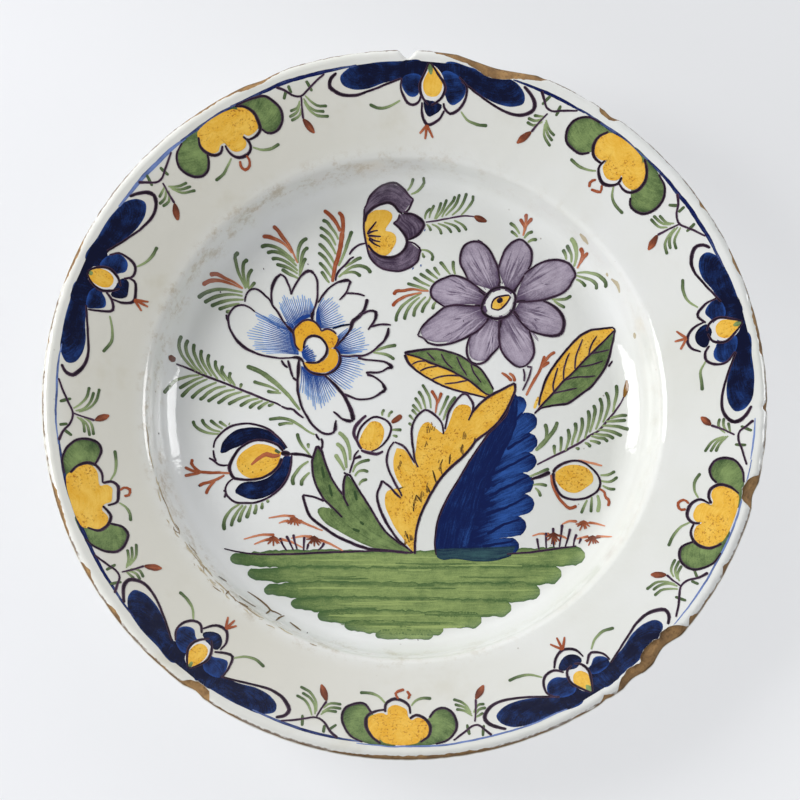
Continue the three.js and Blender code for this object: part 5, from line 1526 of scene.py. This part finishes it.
def paint_buds():
    ink = Painting("yellow_buds")
    ink.wash("-14,-18 -18,-18 -20.8,-16.5 -21.8,-14 -20.5,-10 -18.5,-6.5 -15.5,-3.5 -12,-4 -9.8,-7 "
             "-9.8,-11 -11.3,-15", "yellow", 0.5, 0.2, 10, 1.3)
    ink.stroke("-21,-17.5 -22.5,-15 -22.3,-10 -20.5,-6 -17.5,-3 -14,-1.3 -10.5,-2 -7.5,-4 -6.3,-6 -6.8,-10 "
               "-9.5,-14.5 -12.5,-17 -16,-18.8", 1.2, "outline", 0.85)
    ink.stroke("-18.3,-0.5 -21.5,-3.5 -24,-7 -24.5,-9.5 -22.8,-13.5 -20.5,-17.5; -21,-18 -17,-19.3 "
               "-13,-19.8 -10,-18.5", (1.3, 2, 1.7, 1.2), "outline", 0.7)
    ink.stroke("-6,-4.2 -3.5,-2.5 -1,-0.5", (1.4, 3, 2.2), "bud red", 0.5)
    ink.leaflets("-10.5,-0.8 -10.3,1.5 -9.3,2.3; -7.5,-1.5 -6.7,0.8 -5.3,1.6; -6.5,-7.8 -1,-7.7; "
                 "-5.5,-10.5 -3,-11.2; -25,-29 -23.5,-25.5 -20,-23.5 -16.5,-22.8; -24,-31 -22,-28.5 "
                 "-19.5,-28 -17.3,-28.8; -22,-35.5 -20.5,-33.3 -17.8,-32.4; 61.5,-31 66,-29 71,-27; 63,-35 "
                 "67,-34.8 70,-35.5; 64,-36.5 66,-38.5 66.7,-41; 96,-30.2 100,-30 103.3,-28.3; 96.2,-33 "
                 "101,-33.5 104.5,-31.3; 97,-35.3 100,-37 103.3,-37.5; 89.5,-42.5 87.7,-46 86.5,-49.3; "
                 "91.8,-41 91.5,-45 91.3,-48.8", 1.6, tip_last=True)
    ink.stroke("94.5,-40 95.3,-44 94.5,-48.8", (1.2, 1.8, 2), "green", 0.2, 1)
    ink.stroke("-26.5,-29.5 -25.5,-26 -24.5,-23 -24,-20.5 -22,-18", 1.1, "outline", 0.85)
    ink.stroke("-24.5,-22.5 -22.5,-21.5 -20.8,-21", (1, 1.4, 2), "outline", 0.9)
    ink.wash("74.2,-28.7 78,-26 84,-25 89,-26.3 92.3,-30 92.5,-33 89,-36.3 84,-39 80,-38.5 76,-35.5 74,-32",
             "yellow", 0.5, 0.2, 10, 1.3)
    ink.stroke("73,-29 74,-27 77,-24.8 81,-23.3 85,-23 88.5,-24.3 92,-27 95,-30.5 96,-34 95,-37.5 "
               "91.5,-40.3 87,-42 82,-42.2 77.5,-40.8 74.5,-37 73,-32.5 73,-29",
               (1.8, 1.2, 1.2, 1.2, 1.4, 1.9), "outline", 0.9)
    ink.stroke("62,-32.5 67,-30.7 71.5,-28.8", (1.2, 2, 2.2), "outline", 0.95)
    ink.stroke("71.8,-30 72.5,-35 75,-40.5 78,-44.5 81,-46.7 84.3,-45.5; 95.5,-37 98,-39 98.3,-41 100,-43 "
               "99.7,-46", (0.9, 1.3, 1.5, 1.5), "red", (0.6, 0.9), 2.3)
    ink.stroke("85,-22.7 91,-24 97,-25.5", 1.1, "red", 0.2, 1.5)
    ink.done()


# How far the mound's rows run over each other
ROW_OVERLAP = 0.9


def paint_ground():
    mound = Painting("mound")
    rows = ("-84.5,-72.3 -60,-72 -30,-72.2 0,-72.8 30,-72 60,-71.3 88,-70.3",
            "-76,-79.8 -40,-80 0,-80.6 40,-80 76.5,-79.8",
            "-68,-87.4 -35,-87.6 0,-88.3 35,-88.3 66,-88.3",
            "-55,-94.2 -20,-94.8 15,-95.8 52,-96.3",
            "-42,-100 -12,-100.8 15,-101.8 37.5,-102",
            "-29,-104.9 -10,-105.6 19,-106.8",
            "-14,-109.6 0,-109.4 14,-109.8")
    for row, width in zip(rows, (8.8, 8.6, 8.6, 8, 7.4, 6, 4.4)):
        widths = tuple((width + ROW_OVERLAP) * part for part in (0.55, 0.92, 1, 1, 1.02, 1, 1, 1))
        mound.stroke(row, widths, "mound green", (0.9, 0.55, 0.5, 0.38, 0.45, 0.38, 0.48, 0.55),
                     0.3, 0.4, 12, 0.5)
    for k in range(34):
        y = -68 - 38 * mound.random.random() ** 1.2
        reach = 73 * math.sqrt(max(0.05, 1 - ((-66 - y) / 43) ** 2))
        x = mound.random.uniform(-reach, reach * 0.6)
        long = mound.random.uniform(12, 40)
        mound.stroke(f"{x:.1f},{y:.1f} {x + long / 2:.1f},{y + mound.random.uniform(-0.4, 0.4):.1f} "
                     f"{min(x + long, reach):.1f},{y:.1f}", (0.4, 0.9, 0.5), "mound green",
                     mound.random.choice((0.15, 0.68)), 0.9)
    mound.stroke("-87.5,-67.3 -84,-68 -78,-69 -70,-69.7 -60,-69.7 -50,-69.4 -40,-68.9 -28,-68.4 -11,-68 "
                 "4,-69; 50,-69.5 55,-69 60,-68.7 67,-67.8 75,-66.6 84,-65.5", (0.8, 1.1, 1.2, 1, 0.8),
                 "outline", 0.85)
    mound.between("15.3,-67 24,-66.6 34,-66.4 44,-66 54.5,-65.4",
                  "16,-71 18,-72.2 24,-71.8 34,-73 44,-72.8 52,-70.5", "teal", (0.6, 0.45, 0.6), 1.5, 6, 2,
                  0.2)
    mound.done()

    grass = Painting("grass_tufts")
    grass.stroke("-53,-51 -58,-50.6 -66,-51.8; -56,-53 -58,-53.2 -61,-54.4; -51,-53 -46,-55.3 -39.5,-58; "
                 "-63,-60 -70,-60.2 -78,-62.3; -65,-62 -68,-62.8 -73,-64.8; -60.5,-62 -55,-63.5 -49,-66.5; "
                 "-44.5,-61 -50,-60.8 -55,-61.8; -41,-62.5 -36,-64.5 -29.5,-68; 71,-59.5 66,-59.4 "
                 "62.5,-60.5; 75,-60 79,-61.5 80,-62.5; 84.5,-53.3 81,-53 77,-54.6; 90,-53.8 94,-54.5 "
                 "98,-56.2; 90,-60.8 86,-61.5 84,-62; 93.5,-61 97,-61.5 101,-62.3", (1.5, 1.2, 1, 0.6),
                 "red", (0.7, 0.35, 0.25), 1)
    grass.stroke("-60.5,-61.5 -59,-65 -57,-68; -57.3,-60.5 -55.5,-64 -53.8,-67.8; -53.8,-59.8 -53.2,-63.5 "
                 "-52,-67.3; -48.5,-61 -48.7,-64 -48.8,-68; -46.5,-64.5 -47.3,-67.5; -38.8,-64 -40,-66 "
                 "-41.8,-67.8; 64.8,-61.5 65.2,-64.5 65.8,-67.3; 69.2,-58.7 69.2,-62 69.3,-66.7; "
                 "72.7,-56.3 72.8,-61 73,-66; 77.2,-54.7 76.5,-60 75.7,-66; 81,-56.7 80,-61 78.5,-66; "
                 "84.2,-59.5 83,-62.5 82.5,-65.7; 86.3,-61.5 85.2,-64.5; 72.8,-56.3 72.8,-57.8",
                 (1.6, 1.1, 0.8), "outline", 0.75, 1.2)
    for x, y, dark in ((-53.5, -52.5, 0.5), (-63.5, -62, 0.55), (-43.7, -62, 0.95), (73, -60, 0.9),
                       (87.6, -54, 0.5), (91.8, -61.8, 0.7)):
        heart = [Vector((x - 2.2, y)), Vector((x, y + 0.4)), Vector((x + 2.2, y - 0.3))]
        grass.stroke(heart, (1, 2.2, 1), "bud red", dark, 1.3)
        for k in range(7):
            a = math.radians(190 + 27 * k + grass.random.uniform(-9, 9))
            there = Vector((x + math.cos(a) * 4, y + math.sin(a) * grass.random.uniform(2.8, 4.8)))
            here = Vector((x + math.cos(a) * 0.6, y))
            grass.stroke([here, there], (1.1, 0.7), "bud red", (dark, dark * 0.6), 1.4)
    grass.done()


# The radius of the crease between the wall and the flange, where dirt gathers
CREASE = 125.5


def paint_specks():
    """Dark spots and cracks in the glaze, and the dirt in the crease."""
    spots = Painting("glaze_specks")
    spots.stroke("-69,73 -68.6,73.1; -47.2,75.4 -46.8,75.6; 29.3,47 29.7,47; 6.4,-112.3 6.8,-112.2; "
                 "-119.7,-12 -119.3,-12; -90.3,60.8 -89.7,61.2; -47.2,-110 -46.8,-110.1", 1, "outline", 0.8)
    spots.stroke("-76,-89.3 -71,-92.5 -66,-97 -64.5,-98.8 -62,-99.5 -59.5,-101; -65,-98.5 -66,-100 "
                 "-67,-101.3; -58,-101 -60,-102 -62.3,-104.8; -55.5,-104.5 -52.5,-106.8 -50,-109",
                 (0.4, 0.9, 1, 0.5), "dirt", 1.1)
    spots.stroke("-80,-93 -76,-96 -72,-98; -90,-83.5 -86,-85.5; -80,-97 -75.5,-99.5", (0.5, 1.1, 0.6),
                 "dirt", 0.8)
    spots.stroke("-85.8,-92.3 -85.2,-92.8", 2.2, "dirt", 1)
    spots.done()
    dirt = Painting("crease_dirt", True)
    for first, last in ((184, 196), (197, 211), (212, 223), (224, 237)):
        places = [f"{angle},{CREASE + dirt.random.uniform(-0.35, 0.35):.2f}"
                  for angle in range(first, last, 2)]
        dirt.stroke(" ".join(places), (0.3, 0.7, 0.4, 0.8, 0.3), "dirt", (0.1, 0.6, 0.2, 0.5), 0)
    dirt.stroke("29.8,121 31.6,121.9 33.6,121.2; 34.6,120.6 35.4,121; 18.6,119 20,119.5; 43,122.5 46,122.9",
                (0.5, 1.5, 0.6), "dirt", (-0.2, 0.15), 0)
    for k in range(46):
        angle = dirt.random.triangular(186, 252, 222)
        radius, long = CREASE + dirt.random.triangular(-1.4, 3.2, 0.3), dirt.random.uniform(0.5, 3)
        dirt.stroke(f"{angle},{radius} {angle + long / 2},{radius + dirt.random.uniform(-0.5, 0.5)} "
                    f"{angle + long},{radius + dirt.random.uniform(-0.8, 0.8)}", (0.25, 0.7, 0.3), "dirt",
                    dirt.random.uniform(-0.3, 0.6), 0)
    dirt.done()


paint_blue_white_flower()
paint_purple_flower()
paint_side_flower()
paint_ferns()
paint_two_tone_leaves()
paint_lobed_leaves()
paint_tulip()
paint_buds()
paint_ground()
paint_specks()


# The photograph's setting

CAMERA_DISTANCE = 2400
TILT = math.radians(12.26)
TURN = math.radians(5.4)
PIXELS_PER_MM = 2.0737
IMAGE = 800
RIM_CENTRE_PIXEL = (405.2, 398.4)
RIM_LEVEL = CLAY_FACE.at(RIM_RADIUS - LIP)[0]
FLOOR_GLOW = 0.62


def make_camera():
    """A camera where the photograph's stood, as fitted to the outline of the rim."""
    across = Vector((math.cos(TURN), -math.sin(TURN), 0))
    away = Vector((math.sin(TURN), math.cos(TURN), 0))
    towards = Vector((0, 0, 1)) * math.cos(TILT) - away * math.sin(TILT)
    upward = away * math.cos(TILT) + Vector((0, 0, 1)) * math.sin(TILT)
    right = across * math.cos(TURN) + upward * math.sin(TURN)
    top = -across * math.sin(TURN) + upward * math.cos(TURN)
    data = bpy.data.cameras.new("view")
    data.sensor_width = 36
    data.lens = 36 * PIXELS_PER_MM * CAMERA_DISTANCE / IMAGE
    data.shift_x = -(RIM_CENTRE_PIXEL[0] - IMAGE / 2) / IMAGE
    data.shift_y = (RIM_CENTRE_PIXEL[1] - IMAGE / 2) / IMAGE
    camera = bpy.data.objects.new("view", data)
    place = (Vector((0, 0, RIM_LEVEL)) + towards * CAMERA_DISTANCE) * MM
    camera.matrix_world = Matrix.Translation(place) @ Matrix((right, top, towards)).transposed().to_4x4()
    bpy.context.scene.collection.objects.link(camera)
    bpy.context.scene.camera = camera


def make_floor():
    """A pale floor, part of whose brightness is its own where it is seen or mirrored."""
    finish = Finish("pale_floor", Roughness=0.9, Specular_IOR_Level=0.1)
    bm = bmesh.new()
    bmesh.ops.create_circle(bm, cap_ends=True, segments=96, radius=3)
    mesh = bpy.data.meshes.new("floor")
    bm.to_mesh(mesh)
    bm.free()
    floor = bpy.data.objects.new("floor", mesh)
    x, y = finish.flat_place()
    # Painted light and shade: the floor's colour is lighter towards the right and the bottom, and darker
    # towards the upper right
    shade = finish.between(x - y * 0.25, -0.26, 0.24)
    colour = finish.mixed(shade, rgb(238, 239, 242), rgb(245, 246, 248))
    colour = finish.mixed(finish.between(x * 0.5 + y, 0.08, 0.27), colour, rgb(229, 230, 232))
    finish.set(Base_Color=colour)
    glow = finish.nodes.new("ShaderNodeEmission")
    finish.put(glow.inputs["Color"], colour)
    seen = finish.node("ShaderNodeLightPath", {}, {}, "Is Camera Ray")
    mirrored = finish.node("ShaderNodeLightPath", {}, {}, "Is Glossy Ray")
    both = finish.node("ShaderNodeMixShader", {}, {})
    finish.put(both.socket.node.inputs[0], (seen + mirrored) * FLOOR_GLOW)
    finish.links.new(finish.shader.outputs[0], both.socket.node.inputs[1])
    finish.links.new(glow.outputs[0], both.socket.node.inputs[2])
    finish.links.new(both.socket, finish.nodes["Material Output"].inputs["Surface"])
    mesh.materials.append(finish.material)
    bpy.context.scene.collection.objects.link(floor)


def make_lamp(name, azimuth, off_axis, distance, width, height, power, unlit_by="none"):
    """A rectangular lamp that faces the plate, at an angle from the plate's axis."""
    data = bpy.data.lights.new(name, "AREA")
    data.shape, data.size, data.size_y, data.energy = "RECTANGLE", width, height, power
    lamp = bpy.data.objects.new(name, data)
    a, b = math.radians(azimuth), math.radians(off_axis)
    place = Vector((math.cos(a) * math.sin(b), math.sin(a) * math.sin(b), math.cos(b))) * distance
    lamp.matrix_world = Matrix.Translation(place) @ place.to_track_quat("Z", "Y").to_matrix().to_4x4()
    lamp.visible_glossy = unlit_by != "glossy"
    lamp.visible_diffuse = unlit_by != "diffuse"
    bpy.context.scene.collection.objects.link(lamp)


def make_sky():
    """Pale light from all round, which weakens towards the top."""
    world = bpy.data.worlds.new("studio")
    world.use_nodes = True
    nodes, links = world.node_tree.nodes, world.node_tree.links
    sky = nodes["Background"]
    sky.inputs["Color"].default_value = rgb(236, 238, 242)
    heading = nodes.new("ShaderNodeTexCoord")
    parts = nodes.new("ShaderNodeSeparateXYZ")
    level = nodes.new("ShaderNodeMapRange")
    links.new(heading.outputs["Generated"], parts.inputs[0])
    links.new(parts.outputs["Z"], level.inputs["Value"])
    for name, value in (("From Min", 0.4), ("From Max", 0.82), ("To Min", 1.35), ("To Max", 0.2)):
        level.inputs[name].default_value = value
    links.new(level.outputs[0], sky.inputs["Strength"])
    bpy.context.scene.world = world


make_camera()
make_floor()
make_lamp("left_window", 168, 55, 1.7, 0.62, 1.0, 19.5)
make_lamp("upper_window", 110, 62, 1.7, 1.2, 0.8, 6.5, unlit_by="glossy")
make_lamp("right_reflector", 16, 63, 1.7, 0.55, 0.8, 12, unlit_by="diffuse")
make_sky()
bpy.context.scene.view_settings.view_transform = "Standard"
